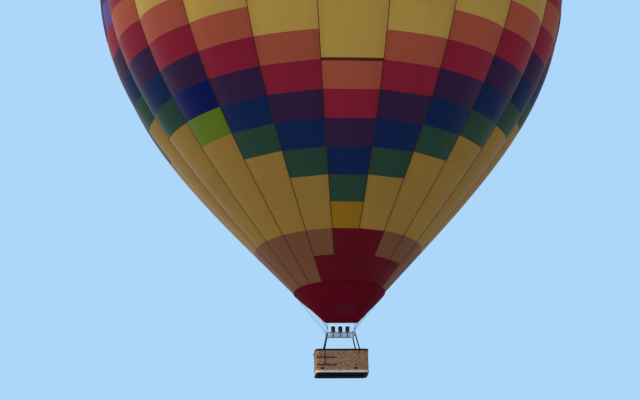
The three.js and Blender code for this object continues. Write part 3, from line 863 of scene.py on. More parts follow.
def rod(start, end, radius, sides=12):
    """A round bar between two points."""
    start, end = Vector(start), Vector(end)
    way = end - start
    place = {"location": (start + end) / 2, "rotation": way.to_track_quat("Z", "Y").to_euler()}
    return add(bpy.ops.mesh.primitive_cylinder_add, vertices=sides, radius=radius, depth=way.length, **place)


def rounded_plane(half_x, half_y, corner, z):
    """A level plane with rounded corners."""
    piece = add(bpy.ops.mesh.primitive_plane_add, size=2, location=(0, 0, z))
    with editing():
        bpy.ops.transform.resize(value=(half_x, half_y, 1), center_override=(0, 0, z))
        bpy.ops.mesh.bevel(offset=corner, segments=8, affect="VERTICES")
    return piece


def frame_tube(half_x, half_y, corner, z, radius):
    """A tube bent into a rounded rectangle: a rounded plane's outline, filled out."""
    rounded_plane(half_x, half_y, corner, z)
    with editing():
        bpy.ops.mesh.delete(type="ONLY_FACE")
    bpy.ops.object.convert(target="CURVE")
    bpy.context.object.data.bevel_depth = radius
    bpy.context.object.data.bevel_resolution = 5
    bpy.ops.object.convert(target="MESH")
    return bpy.context.object


def ring(centre, major, minor, rotation=(0, 0, 0), segments=24):
    """A round bar bent into a ring."""
    radii = {"major_radius": major, "minor_radius": minor}
    steps = {"major_segments": segments, "minor_segments": 10}
    return add(bpy.ops.mesh.primitive_torus_add, location=centre, rotation=rotation, **radii, **steps)


def dress(piece, material, body="balloon", replaces=()):
    """Gives a finished piece its material and body, and hides the nodes that it stands for."""
    piece.data.materials.clear()
    piece.data.materials.append(material)
    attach(piece, body)
    if replaces:
        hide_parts(*replaces)


def outline(half_x, half_y, corner, steps):
    """Places and outward ways, evenly round a rounded rectangle from the middle of its front."""
    straight_x, straight_y, arc = half_x - corner, half_y - corner, math.pi * corner / 2
    spans = [straight_x, arc, 2 * straight_y, arc, 2 * straight_x, arc, 2 * straight_y, arc, straight_x]
    ends = np.cumsum(spans)
    middles = [(x * straight_x, y * straight_y) for x, y in ((1, -1), (1, 1), (-1, 1), (-1, -1))]
    places, ways = [], []
    for way in np.linspace(0, ends[-1], steps + 1):
        span = min(int(np.searchsorted(ends, way)), 8)
        along = way - (ends[span] - spans[span])
        facing = -math.pi / 2 + (span // 2) * math.pi / 2
        if span % 2:
            middle_x, middle_y = middles[span // 2]
            facing += along / corner
        else:
            from_x, from_y = (0, -straight_y) if span == 0 else middles[span // 2 - 1]
            middle_x = from_x - along * math.sin(facing)
            middle_y = from_y + along * math.cos(facing)
        out = (math.cos(facing), math.sin(facing))
        places.append((middle_x + corner * out[0], middle_y + corner * out[1]))
        ways.append(out)
    places[-1], ways[-1] = places[0], ways[0]
    return np.array(places), np.array(ways)


def oval(out, up, sides, power=1.0):
    """A closed section, rounder where power is 1 and squarer below it."""
    turn = np.linspace(0, 2 * np.pi, sides, endpoint=False)
    wave = np.stack((np.cos(turn), np.sin(turn)), -1)
    return np.sign(wave) * np.abs(wave) ** power * (out, up)


# Envelope


def panel_name(gore, row):
    """Colour of a panel: diamonds of rings on the near and the far side, and the odd panels."""
    aside = gore if gore <= GORES / 2 else gore - GORES
    if (aside, row) in ODD_PANELS:
        return ODD_PANELS[aside, row]
    if row <= TAN_ROWS:
        return "tan"
    to_middle = min(abs(aside), GORES // 2 - abs(aside))
    ring_number = abs(row - DIAMOND_ROW) + to_middle
    return RINGS[ring_number] if ring_number < len(RINGS) else "gold"


def gore_cloth(name, gore, first, last, look, chance):
    """One sewn length of a gore, from row to row, with a face's colour for each panel."""
    strips = [strip for strip in STRIPS if strip[0] == gore and first < strip[1] < last]
    rows = np.linspace(first, last, (last - first) * CLOTH_STEPS + 1)
    rows = np.union1d(rows, [edge for strip in strips for edge in strip[1:3]])
    angles = np.linspace(-HALF_GORE, HALF_GORE, CLOTH_COLUMNS + 1)
    row, angle = np.meshgrid(rows, angles, indexing="ij")
    phase = chance.uniform(0, 2 * math.pi)
    ripple = np.cos(angle * math.pi * 3 / HALF_GORE + phase) * (1 - (angle / HALF_GORE) ** 2)
    slack = np.clip(1 - row / SLACK_ROWS, 0, 1) * SLACK * ripple
    outer = skin(row, angle, -slack, gore * GORE_TURN)
    inner = skin(row, angle, SKIN - slack, gore * GORE_TURN)
    across = np.radians(angle) * np.interp(row, STATIONS, RADII)
    cloth = pairs(across + gore * CLOTH_SHIFT, run_at(row))
    build = Build()
    build.shell(outer, inner, cloth=cloth, panel=pairs(angle / HALF_GORE, row))
    shades = {}
    for number in range(first + 1, last + 1):
        shade = np.array(getattr(look, panel_name(gore, number)))
        shades[number] = np.clip(shade * (1 + chance.uniform(-1, 1) * look.panel_spread), 0, 1)
    middles = np.concatenate(build.maps["panel"])[:, 1].reshape(-1, 4).mean(1)
    numbers = np.clip(np.floor(middles).astype(int) + 1, first + 1, last)
    painted = np.array([shades[number] for number in numbers])
    for _, low, high, shade in strips:
        painted[(middles > low) & (middles < high)] = getattr(look, shade)
    build.maps["panel_colour"] = [np.repeat(painted, 4, axis=0)]
    length = np.linalg.norm(np.diff(outer[:, CLOTH_COLUMNS // 2], axis=0), axis=1).sum()
    widths = np.linalg.norm(np.diff(outer, axis=1), axis=2).sum(1)
    return build.make(name), float(widths.max()), float(length), cloth_area(outer)


def cloth_area(points):
    """Area of a grid of points."""
    up = points[1:, :-1] - points[:-1, :-1]
    across = points[:-1, 1:] - points[:-1, :-1]
    return float(np.linalg.norm(np.cross(up, across), axis=-1).sum())


def line_inside(piece, lining):
    """Gives the faces that look into the envelope another material."""
    piece.data.materials.append(lining)
    for face in piece.data.polygons:
        face.material_index = int(face.normal.dot(face.center - ENVELOPE_MIDDLE) < 0)


def make_gores(look):
    """Two lengths of cloth for each gore, in one fabric outside and one inside."""
    fabric = envelope_fabric("envelope_fabric")
    # The lining's faces carry a painted glow, emission that stands in for sunlight through the cloth
    lining = envelope_fabric("envelope_lining", PAINTED_LINING_GLOW)
    chance = random.Random(12)
    for gore in range(GORES):
        for part, first, last in (("lower", 0, SPLIT_ROW), ("upper", SPLIT_ROW, ROWS)):
            name = f"gore_cloth_{gore + 1:02d}_{part}"
            piece, width, length, area = gore_cloth(name, gore, first, last, look, chance)
            dress(piece, fabric, replaces=[f"gore_{gore + 1:02d}"])
            line_inside(piece, lining)


def strap(build, left, right, lift_out, thickness):
    """A flat band between two lines of points, standing out by one way and this thick."""
    middle = (left + right) / 2
    inner = np.stack((left, middle, right), 1)
    outer = inner + np.broadcast_to(lift_out * thickness, left.shape)[:, None]
    across = np.linalg.norm(right - left, axis=1)[:, None] * ACROSS
    build.shell(outer, inner, cloth=pairs(across, way_along(middle)[:, None]))


def make_load_tapes(look):
    """Twenty webbing tapes in the valleys between the gores, from the hem to the crown."""
    build = Build()
    rows = np.linspace(0, TAPE_OVERLAP_ROW + 0.08, 4 * ROWS)
    edge = HALF_GORE - np.degrees(look.tape_width / 2 / np.interp(rows, STATIONS, RADII))
    for seam in range(GORES):
        turn = seam * GORE_TURN
        inner, outer = (
            np.stack((
                skin(rows, edge, -lift, turn),
                skin(rows, HALF_GORE, -lift, turn),
                skin(rows, -edge, -lift, turn + GORE_TURN),
            ), 1)
            for lift in (TAPE_LIFT, TAPE_LIFT + TAPE_THICK)
        )
        build.shell(outer, inner, cloth=pairs(ACROSS * look.tape_width, run_at(rows)[:, None]))
    dress(build.make("load_tapes"), webbing("load_tape_webbing", look.tape))


def make_vent(look):
    """Parachute vent: a disc of cloth that puffs up between the crown's tapes, with a patch at its middle."""
    rows = np.append(np.linspace(VENT_EDGE_ROW, LAST_ROW, 22), LAST_ROW)
    row, angle = np.meshgrid(rows, np.linspace(0, 360, GORES * 8 + 1), indexing="ij")
    within = angle % GORE_TURN - HALF_GORE
    puff = np.clip((row - ROWS) / 0.5, 0, 1) * (1 - (within / HALF_GORE) ** 2)
    puff = VENT_PUFF * puff * np.clip(np.interp(row, STATIONS, RADII) / 3, 0, 1)
    lift = puff - SKIN - VENT_GAP
    outer, inner = skin(row, HALF_GORE, -lift, angle), skin(row, HALF_GORE, SKIN - lift, angle)
    for surface in (outer, inner):
        surface[-1, :, :2] = VENT_HOLE * unit(surface[-1, :, :2])
    build = Build()
    build.shell(outer, inner, closed_across=True, cloth=pairs(np.radians(angle) * 3.2, run_at(row)))
    vent = build.make("vent_cloth")
    dress(vent, plain_fabric("vent_fabric", look.gold), "vent", ["parachute_vent"])
    # The vent's lining carries the same painted glow
    line_inside(vent, plain_fabric("vent_lining", look.gold, PAINTED_LINING_GLOW))
    profile = [(0.02, -0.016), (0.13, -0.014), (0.13, 0.003), (0.02, 0.005)]
    patch = settle(turned(profile, 40, z=float(outer[-1, 0, 2])), "vent_patch")
    dress(patch, enamel("vent_patch_cloth", look.tape), "vent")


def make_crown(look, steel):
    """The tapes over the vent, and the ring that they loop round."""
    build = Build()
    section = skin(np.linspace(TAPE_OVERLAP_ROW, LAST_ROW, 12), HALF_GORE, -CROWN_TAPE_LIFT, -HALF_GORE)
    turns = np.radians(np.linspace(-40, 230, 10))
    grip = CROWN_RING_TUBE + 0.002
    loop = pairs(-CROWN_RING_RADIUS - grip * np.cos(turns), CROWN_RING_Z + grip * np.sin(turns))
    line = np.concatenate((section[:, 1:], loop))
    line = np.concatenate((np.zeros((len(line), 1)), line), 1)
    way = np.gradient(line, axis=0)
    lift_out = unit(np.stack((np.zeros(len(line)), way[:, 2], -way[:, 1]), -1))
    side = RIGHT * look.tape_width / 2
    for seam in range(GORES):
        spin = np.array(Matrix.Rotation(math.radians((seam + 0.5) * GORE_TURN), 3, "Z")).T
        strap(build, (line - side) @ spin, (line + side) @ spin, lift_out @ spin, TAPE_THICK)
    straps = build.make("crown_straps")
    dress(straps, webbing("crown_webbing", look.tape), replaces=["crown_tapes"])

    hoop = settle(ring((0, 0, CROWN_RING_Z), CROWN_RING_RADIUS, CROWN_RING_TUBE, segments=64), "crown_hoop")
    dress(hoop, brushed_steel("crown_metal", steel.crown), replaces=["crown_ring"])


def make_turning_vents(look):
    """Fabric flaps over slits, with a tape round each edge."""
    edging = webbing("turning_vent_tape", look.tape)
    half = TURNING_VENT_HALF
    rows, angles = np.linspace(*TURNING_VENT_ROWS, 25), np.linspace(-half, half, 9)
    row, angle = np.meshgrid(rows, angles, indexing="ij")
    bow = np.sin(math.pi * (row - rows[0]) / 3) * np.clip(1 - (angle / half) ** 2, 0, 1)
    across = np.radians(angle) * TURNING_VENT_RADIUS
    aside, above = np.degrees(EDGE_TAPE_HALF / EDGE_TAPE_RADIUS), EDGE_TAPE_HALF / ROW_HEIGHT
    edges = [((rows, edge - aside), (rows, edge), (rows, edge + aside)) for edge in (-half, half)]
    edges += [((end + above, angles), (end, angles), (end - above, angles)) for end in (rows[0], rows[-1])]
    for side, sign, puff, shade in (("left", -1, 0.02, look.violet), ("right", 1, 0.13, look.plum)):
        turn = sign * TURNING_VENT_GORE * GORE_TURN
        lift = FLAP_LIFT + puff * bow
        build = Build()
        outer, inner = skin(row, angle, -lift, turn), skin(row, angle, FLAP_THICK - lift, turn)
        build.shell(outer, inner, cloth=pairs(across, run_at(row)))
        flap = build.make(f"turning_vent_flap_{side}")
        fabric = plain_fabric(f"turning_vent_fabric_{side}", shade)
        dress(flap, fabric, replaces=[f"turning_vent_{side}"])
        build = Build()
        for lines in edges:
            left, middle, right = (skin(*line, -EDGE_TAPE_LIFT, turn) for line in lines)
            way_out = skin(*lines[1], -EDGE_TAPE_LIFT - 1, turn) - middle
            strap(build, left, right, way_out, FLAP_THICK)
        dress(build.make(f"turning_vent_tape_{side}"), edging)


def scoop_foot():
    """Angles across the scoop, and how far down the wires its edge lies at each of them."""
    angles = np.linspace(-SCOOP_SPAN, SCOOP_SPAN, SCOOP_COLUMNS)
    fall = 1 - np.minimum(np.abs(angles) / SCOOP_SPAN, 1) ** SCOOP_POWER
    return angles, np.maximum(SCOOP_DROP * fall, SCOOP_LEAST)


def make_mouth(look):
    """Hem round the mouth, and the scoop under its near half."""
    red_cloth = scoop_fabric(look.crimson)
    turns = np.linspace(0, 2 * np.pi, GORES * 12 + 1)
    out = lifted(pairs(np.sin(turns), -np.cos(turns)), 0)
    pinch = drawn_in(turns * GORES / (2 * np.pi), 0.16, 1.6 / GORE_TURN)[:, None]
    path = out * MOUTH_RADIUS + UP * ((MOUTH_Z + HEM_BOTTOM) / 2 + HEM_LAP / 2)
    build = Build()
    build.tube(path, out * pinch, UP, oval(0.026, 0.03 + HEM_LAP / 2, 12, 0.8), closed=True)
    dress(build.make("hem_cloth"), red_cloth, replaces=["mouth_hem"])

    angles, lowest = scoop_foot()
    shares = np.linspace(1, 0, 25)[:, None] * lowest
    angle = np.broadcast_to(angles, shares.shape)
    between = np.abs(np.cos(np.radians(angle * 10)))
    sag = SCOOP_SAG * between * np.sin(math.pi * np.clip(shares / lowest, 0, 1)) ** 0.5
    outer = cage(angle, shares, SCOOP_OUT + SKIN / 2 + sag)
    inner = cage(angle, shares, SCOOP_OUT - SKIN / 2 + sag)
    down = way_along(outer[::-1])
    across = np.radians(angle) * MOUTH_RADIUS * (1 - 0.4 * shares)
    build = Build()
    build.shell(outer, inner, cloth=pairs(across, down[::-1]))
    scoop = build.make("scoop_cloth")
    dress(scoop, red_cloth, replaces=["scoop"])


def make_scoop_edge(look):
    """A tape sewn along the scoop's lower edge."""
    angles, lowest = scoop_foot()
    path = cage(angles, lowest, SCOOP_OUT)
    upward = unit(cage(angles, lowest - 0.02, SCOOP_OUT) - path)
    outward = unit(cage(angles, lowest, SCOOP_OUT + 0.1) - path)
    build = Build()
    build.tube(path, outward, upward, oval(0.009, 0.022, 8, 0.7))
    dress(build.make("scoop_edge"), webbing("scoop_edge_webbing", look.tape))


# Wires, frame and burners


def make_wires(look):
    """Flying wires: five from each quarter of the mouth, gathered in one ferrule, each with a short sleeve
    near its top.
    """
    rope = brushed_steel("wire_rope", look.dark_steel, 0.4)
    radius = look.wire_width / 2
    reach = MOUTH_RADIUS - HEM_HALF / 3
    ferrule = [(0.016, -0.060), (0.024, -0.054), (0.026, -0.030), (0.026, -0.006)]
    ferrule += [(0.020, 0.010), (0.010, 0.026)]
    for corner, (side_x, side_y) in CORNERS.items():
        foot = Vector((side_x * CORNER_X, side_y * CORNER_Y, FERRULE_Z))
        parts = [turned(ferrule, 20, *foot)]
        for wire in range(5):
            a = math.radians((2 * wire + 1) * HALF_GORE)
            head = Vector((side_x * reach * math.sin(a), side_y * reach * math.cos(a), HEM_BOTTOM - 0.004))
            parts.append(rod(foot, head, radius, 8))
            parts.append(rod(head.lerp(foot, 0.03), head.lerp(foot, 0.055), radius * 1.9, 10))
        piece = join(parts, f"wire_set_{corner}", 50)
        dress(piece, rope, replaces=[f"flying_wires_{corner}"])


def make_karabiners(look):
    """Oval screw links between the ferrules and the frame's lugs."""
    steel = brushed_steel("karabiner_steel", look.steel, 0.22)
    low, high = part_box("karabiner_front_left")
    middle_z = (low.z + high.z) / 2
    half_height = (high.z - low.z) / 2
    wire = 0.006
    half_width = 0.032
    for corner, (side_x, side_y) in CORNERS.items():
        centre = Vector((side_x * CORNER_X, side_y * CORNER_Y, middle_z))
        link = ring(centre, half_width - wire, wire, (math.pi / 2, 0, 0), 28)
        bpy.ops.object.transform_apply(location=False, rotation=True, scale=False)
        with editing():
            for up in (1, -1):
                pick(link, lambda middle: middle.z * up > 0)
                bpy.ops.transform.translate(value=(0, 0, up * (half_height - half_width)))
        profile = [(0.0072, -0.018), (0.0086, -0.016), (0.0086, 0.016), (0.0072, 0.018)]
        sleeve = turned(profile, 16, centre.x + side_x * (half_width - wire), centre.y, middle_z)
        piece = join([link, sleeve], f"link_{corner}", 40)
        dress(piece, steel, replaces=[f"karabiner_{corner}"])


def pins(way, *bars):
    """Round bars along a way at the frame's height, each as its start, end, radius and sides."""
    way, level = Vector(way), Vector((0, 0, FRAME_Z))
    return [rod(level + way * start, level + way * end, radius, sides) for start, end, radius, sides in bars]


def make_load_frame(look):
    """Rounded tube with a lug on each corner, sockets for the uprights and two bearings."""
    half = FRAME_TUBE / 2
    parts = [frame_tube(FRAME_HALF_X - half, FRAME_HALF_Y - half, 0.06 - half, FRAME_Z, half)]
    socket = [(0.030, -half - 0.004), (0.034, 0), (0.026, half)]
    for side_x, side_y in CORNERS.values():
        x, y = side_x * CORNER_X, side_y * CORNER_Y
        parts.append(block((x, y, FRAME_Z + half + 0.015), (0.04, 0.014, 0.05), 0.005, 3))
        parts.append(turned(socket, 20, x, y, FRAME_Z))
    for side in (-1, 1):
        bearing_x = side * (FRAME_HALF_X - half)
        parts.append(block((bearing_x, 0, FRAME_Z), (FRAME_TUBE + 0.004, 0.09, 0.066), 0.008, 3))
        parts += pins((side, 0, 0), (0.735, 0.757, 0.018, 6))
    piece = join(parts, "load_frame_tube")
    dress(piece, brushed_steel("frame_steel", look.steel, 0.26), replaces=["load_frame"])


def make_gimbal(look):
    """Inner ring, with a pin and a friction disc at each end."""
    half = GIMBAL_TUBE / 2
    middle_y = GIMBAL_HALF_Y - half
    parts = [frame_tube(GIMBAL_HALF_X - half, middle_y, 0.04, FRAME_Z, half)]
    for side in (-1, 1):
        parts += pins((side, 0, 0), (0.60, 0.6925, 0.011, 16), (0.617, 0.629, 0.026, 24))
        parts.append(block((0, side * middle_y, FRAME_Z), (0.05, GIMBAL_TUBE + 0.002, 0.046), 0.006, 3))
    piece = join(parts, "gimbal_tube")
    dress(piece, brushed_steel("gimbal_steel", look.steel, 0.26), "gimbal", ["gimbal_ring"])


def make_burner_rack(look):
    """Rack tube with cross bars, valve blocks, posts and pins."""
    half = RACK_TUBE / 2
    parts = [frame_tube(RACK_HALF_X - half, RACK_HALF_Y - half, 0.03, FRAME_Z, half)]
    for side in (-1, 1):
        parts += pins((0, side, 0), (0.14, 0.2695, 0.011, 16), (0.152, 0.164, 0.024, 24))
    post = [(0.020, -0.01), (0.016, 0.02), (0.013, CAN_FOOT - 0.012 - FRAME_Z)]
    reach, bar_z = CAN_RADIUS - 0.006, CAN_FOOT - 0.006
    for x in BURNER_XS:
        parts.append(rod((x, -0.14, FRAME_Z), (x, 0.14, FRAME_Z), 0.010))
        parts.append(block((x, 0, FRAME_Z - 0.045), (0.09, 0.09, 0.09), 0.010, 3))
        parts.append(turned(post, 16, x, 0, FRAME_Z))
        parts.append(rod((x - reach, 0, bar_z), (x + reach, 0, bar_z), 0.006, 10))
        parts.append(rod((x, -reach, bar_z), (x, reach, bar_z), 0.006, 10))
    piece = join(parts, "burner_rack_tube")
    dress(piece, brushed_steel("rack_steel", look.steel, 0.28), "burners", ["burner_rack"])


def make_burner_valves(look):
    """Brass fittings under the valve blocks, with a red lever on either side."""
    fittings, levers = [], []
    low = FRAME_Z - 0.09
    pipe_z = low + 0.045
    tap = [(0.018, -0.030), (0.022, -0.022), (0.022, -0.004), (0.026, 0.004)]
    for x in BURNER_XS:
        fittings.append(turned(tap, 12, x - 0.02, 0, low))
        for side, start, end in ((1, -0.070, 0.0), (-1, 0.0, 0.070)):
            pipe_x = x + side * PIPE_ASIDE
            fittings.append(rod((pipe_x, start, pipe_z), (pipe_x, end, pipe_z), 0.013))
            levers.append(block((pipe_x, -side * 0.072, low + 0.012), (0.016, 0.008, 0.096)))
    brass = brushed_steel("fitting_brass", look.brass, 0.3)
    dress(join(fittings, "burner_fittings"), brass, "burners")
    dress(join(levers, "burner_levers"), enamel("lever_red", look.handle), "burners")


def is_air_hole(middle):
    """Whether a face of a can, by its middle, is one of the holes round its foot."""
    low, high = (CAN_HEIGHT * (share - 0.5) for share in CAN_HOLES)
    turn = round(math.degrees(math.atan2(middle.y, middle.x)) / 9)
    return low < middle.z < high and turn % 2 == 0


def burner_can(x):
    """A can open at both ends, with a ring of air holes round its foot and its top drawn in."""
    barrel = {"radius": CAN_RADIUS, "depth": CAN_HEIGHT, "location": (x, 0, CAN_FOOT + CAN_HEIGHT / 2)}
    can = add(bpy.ops.mesh.primitive_cylinder_add, vertices=40, end_fill_type="NOTHING", **barrel)
    for share in (*CAN_HOLES, *CAN_RIBS):
        with editing():
            bpy.ops.mesh.bisect(plane_co=(x, 0, CAN_FOOT + CAN_HEIGHT * share), plane_no=(0, 0, 1))
    with editing("DESELECT"):
        pick(can, is_air_hole)
        bpy.ops.mesh.inset(thickness=0.003, use_individual=True)
        bpy.ops.mesh.delete(type="FACE")
    with editing("DESELECT"):
        work = bmesh.from_edit_mesh(can.data)
        for vertex in work.verts:
            vertex.select_set(vertex.co.z > CAN_HEIGHT / 2 - 0.001)
        bmesh.update_edit_mesh(can.data)
        top = (x, 0, CAN_FOOT + CAN_HEIGHT)
        bpy.ops.transform.resize(value=(CAN_LIP, CAN_LIP, 1), center_override=top)
    return modified(can, "SOLIDIFY", thickness=0.004, offset=-1)


def burner_coil(x, tube):
    """A tube wound up inside a can: a small circle carried round by a screw."""
    place = {"location": (x, 0, CAN_FOOT + 0.1), "rotation": (math.pi / 2, 0, 0)}
    coil = add(bpy.ops.mesh.primitive_circle_add, vertices=10, radius=tube / 2, **place)
    bpy.ops.object.transform_apply(location=False, rotation=True, scale=False)
    with editing():
        bpy.ops.transform.translate(value=(COIL_RADIUS, 0, 0))
    steps = {"iterations": 8, "steps": 28, "render_steps": 28, "use_merge_vertices": False}
    modified(coil, "SCREW", axis="Z", angle=2 * math.pi, screw_offset=COIL_RISE, **steps)
    with editing():
        bpy.ops.mesh.fill_holes(sides=0)
    return coil


def make_burner_cans(look):
    """Each burner's can, with the coil inside it and a ring of jets under the coil."""
    metal = brushed_steel("burner_steel", look.dark_steel, 0.34, stain=0.8)
    bright = brushed_steel("coil_steel", look.steel, 0.3, stain=0.6)
    jet = [(0.007, 0.058), (0.007, 0.072), (0.004, 0.078)]
    for number, x in enumerate(BURNER_XS, 1):
        can = settle(burner_can(x), f"burner_shell_{number}")
        dress(can, metal, "burners", [f"burner_can_{number}"])
        parts = [burner_coil(x, look.coil_tube)]
        parts.append(ring((x, 0, CAN_FOOT + 0.055), JET_RADIUS, 0.008, segments=32))
        for turn in np.arange(12) * math.pi / 6:
            jet_x, jet_y = x + JET_RADIUS * math.cos(turn), JET_RADIUS * math.sin(turn)
            parts.append(turned(jet, 8, jet_x, jet_y, CAN_FOOT))
        parts.append(rod((x, 0, CAN_FOOT - 0.01), (x, 0, CAN_FOOT + 0.10), 0.010))
        parts.append(rod((x - 0.06, 0, CAN_FOOT + 0.052), (x + 0.06, 0, CAN_FOOT + 0.052), 0.006, 8))
        dress(join(parts, f"burner_coil_{number}", 40), bright, "burners")


def make_uprights(look):
    """Padded sleeves over the rods from the frame to the rim, laced and strapped."""
    covering = leather("sleeve_leather", look.padding)
    strapping = webbing("sleeve_webbing", look.strap)
    shares = np.linspace(0, 1, 57)
    ends = np.clip(np.abs(shares - 0.5) * 2 - 0.94, 0, 1) / 0.06
    swell = (drawn_in(shares * 4, 0.12, 0.1) - 0.3 * ends)[:, None]
    turn = np.linspace(0, 2 * np.pi, 16, endpoint=False)
    section = pairs(np.cos(turn), np.sin(turn)) * UPRIGHT_RADIUS
    lacing = 1 - 0.10 * np.exp(-((turn - math.pi) / 0.25) ** 2)
    for corner, (side_x, side_y) in CORNERS.items():
        low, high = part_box(f"upright_{corner}")
        head = np.array([side_x * CORNER_X, side_y * CORNER_Y, high.z])
        way = np.array([side_x * UPRIGHT_FOOT_X, side_y * UPRIGHT_FOOT_Y, low.z]) - head
        build = Build()
        build.tube(head + way * shares[:, None], RIGHT * swell, BACK * swell, section * lacing[:, None])
        sleeve = build.make(f"sleeve_{corner}", WOVEN_SMOOTH)
        dress(sleeve, covering, replaces=[f"upright_{corner}"])
        build = Build()
        spans = np.array([-0.014, 0.014]) / np.linalg.norm(way)
        for centre in (0.125, 0.375, 0.625, 0.875):
            build.tube(head + way * (centre + spans)[:, None], RIGHT, BACK, section * 0.93)
        dress(build.make(f"sleeve_straps_{corner}", 40), strapping)


# Basket


def weave(build, places, ways, heights, chance, offset, pitch, closed=True):
    """Woven rows round a wall: each strand passes before one stake and behind the next."""
    half, high = STRAND_HALF, pitch * STRAND_SHARE
    shares = ((1, -0.84), (1, 0.84), (0, 1), (-1, 0.84), (-1, -0.84), (0, -1))
    section = np.array([(half * out, high * up) for out, up in shares])
    index = np.arange(len(places))
    for row, z in enumerate(heights):
        swing = offset * np.cos(np.pi * (index / STEPS_TO_STAKE + row))
        path = lifted(places + ways * swing[:, None], z)
        start = chance.uniform(0, 50)
        tone = chance.uniform(0.0, 1.0) * 0.7 + 0.3 * chance.random()
        build.tube(path, lifted(ways, 0), UP, section, closed, "cane", start, tone=tone)


def stake_rows(build, places, ways, low, high, chance):
    """Upright stakes at places along a wall."""
    section = oval(STAKE_RADIUS, STAKE_RADIUS, 6)
    for place, way in zip(places, ways):
        path = lifted(np.tile(place, (3, 1)), (low, (low + high) / 2, high))
        start = chance.uniform(0, 50)
        build.tube(path, (*way, 0), (-way[1], way[0], 0), section, False, "cane", start, tone=chance.random())


def partition_line(name, inset, count):
    """Points along a partition, this far short of what it meets, and the level way square to it."""
    end_x, end_y = BASKET_HALF_X - WALL - inset, BASKET_HALF_Y - WALL - inset
    start, end = {
        "cross": ((PARTITION_X, -end_y), (PARTITION_X, end_y)),
        "long": ((PARTITION_X + PARTITION / 2 + inset, 0.0), (end_x, 0.0)),
    }[name]
    span = np.array(end) - np.array(start)
    way = unit(span)
    return start + span * np.linspace(0, 1, count)[:, None], np.tile([way[1], -way[0]], (count, 1))


def make_wicker(look):
    """Woven wall round the basket, with the cross and the long partition."""
    chance = random.Random(7)
    cane = wicker(look.cane)
    every = STEPS_TO_STAKE
    places, ways = outline(BASKET_HALF_X, BASKET_HALF_Y, BASKET_CORNER, look.stakes * every)
    places = places - ways * WALL / 2
    build = Build()
    count = int((WALL_TOP - WALL_FOOT) / look.cane_pitch)
    heights = WALL_FOOT + look.cane_pitch * (np.arange(count) + 0.5)
    weave(build, places, ways, heights, chance, WALL_SWING, look.cane_pitch)
    stake_rows(build, places[:-1:every], ways[:-1:every], WALL_FOOT, WALL_TOP, chance)
    dress(build.make("wicker_wall", WOVEN_SMOOTH), cane, replaces=["basket_wall"])
    for name, stakes in (("cross", 18), ("long", 22)):
        line, normals = partition_line(name, 0.002, (stakes - 1) * every + 1)
        build = Build()
        weave(build, line, normals, heights[:-2], chance, PARTITION_SWING, look.cane_pitch, closed=False)
        stake_rows(build, line[1:-1:every], normals[1:-1:every], WALL_FOOT, WALL_TOP - 0.04, chance)
        dress(build.make(f"wicker_{name}", WOVEN_SMOOTH), cane, replaces=[f"{name}_partition"])


def padded_roll(name, path, ways, section, pinch, closed, covering, replaces=()):
    """A padded roll along a level path, thinner where it is tied."""
    build = Build()
    pinch = pinch[:, None]
    build.tube(path, lifted(ways, 0) * pinch, UP * (0.6 + 0.4 * pinch), section, closed)
    roll = build.make(name, WOVEN_SMOOTH)
    dress(roll, covering, replaces=replaces)


def make_pads(look):
    """Padded leather rim, and rolls along the tops of the partitions."""
    covering = leather("rim_leather", look.padding)
    places, ways = outline(BASKET_HALF_X, BASKET_HALF_Y, BASKET_CORNER, 360)
    path = lifted(places - ways * WALL / 2, (RIM_TOP + RIM_FOOT) / 2)
    section = oval(WALL / 2 + RIM_OUT, (RIM_TOP - RIM_FOOT) / 2, 18, 0.72)
    pinch = drawn_in(np.linspace(0, RIM_TIES, len(path)), 0.13, 0.07)
    padded_roll("rim_roll", path, ways, section, pinch, True, covering, ["rim_pad"])
    section = oval(0.031, 0.042, 14, 0.8)
    for name in ("cross", "long"):
        line, normals = partition_line(name, 0.012, 81)
        ties = round(float(np.linalg.norm(line[-1] - line[0])) / TIE_EVERY)
        pinch = drawn_in(np.linspace(0, ties, len(line)), 0.14, 0.08)
        path = lifted(line, WALL_TOP - 0.045)
        padded_roll(f"partition_roll_{name}", path, normals, section, pinch, False, covering)


def make_band(look):
    """Rawhide band round the foot, with its lacing."""
    places, ways = outline(BASKET_HALF_X, BASKET_HALF_Y, BASKET_CORNER, 240)
    path = lifted(places + ways * BAND_OUT, (HIDE_TOP + BASKET_FOOT) / 2)
    section = oval(0.0058, (HIDE_TOP - BASKET_FOOT) / 2, 16, 0.35)
    build = Build()
    build.tube(path, lifted(ways, 0), UP, section, closed=True)
    dress(build.make("rawhide_band", WOVEN_SMOOTH), hide(look.hide), replaces=["hide_band"])

    build = Build()
    more = LACING_OUT
    places, ways = outline(BASKET_HALF_X + more, BASKET_HALF_Y + more, BASKET_CORNER + more, 150)
    for place, way in zip(places[:-1], ways[:-1]):
        aside = np.array([-way[1], way[0], 0])
        base, slant = np.array([*place, HIDE_TOP - 0.006]), UP * 0.022 - aside * 0.010
        build.tube(np.stack((base - slant, base, base + slant)), (*way, 0), aside, oval(0.0026, 0.0032, 6))
    dress(build.make("band_lacing"), leather("lacing_leather", look.strap))


def make_floor(look):
    """Floor board, near black underneath: partly dark stain, partly painted shade."""
    board = rounded_plane(BASKET_HALF_X, BASKET_HALF_Y, BASKET_CORNER, BASKET_FOOT)
    with editing():
        bpy.ops.mesh.extrude_region_move(TRANSFORM_OT_translate={"value": (0, 0, FLOOR_TOP - BASKET_FOOT)})
    settle(bevelled(board, 0.003), "floor_board")
    dress(board, wood("plywood", look.plywood), replaces=["basket_floor"])
    # The underside's near black is partly dark stain and partly painted shade
    board.data.materials.append(wood("floor_paint", look.paint, 0.5, 0.05))
    for face in board.data.polygons:
        face.material_index = int(face.normal.z < -0.5)


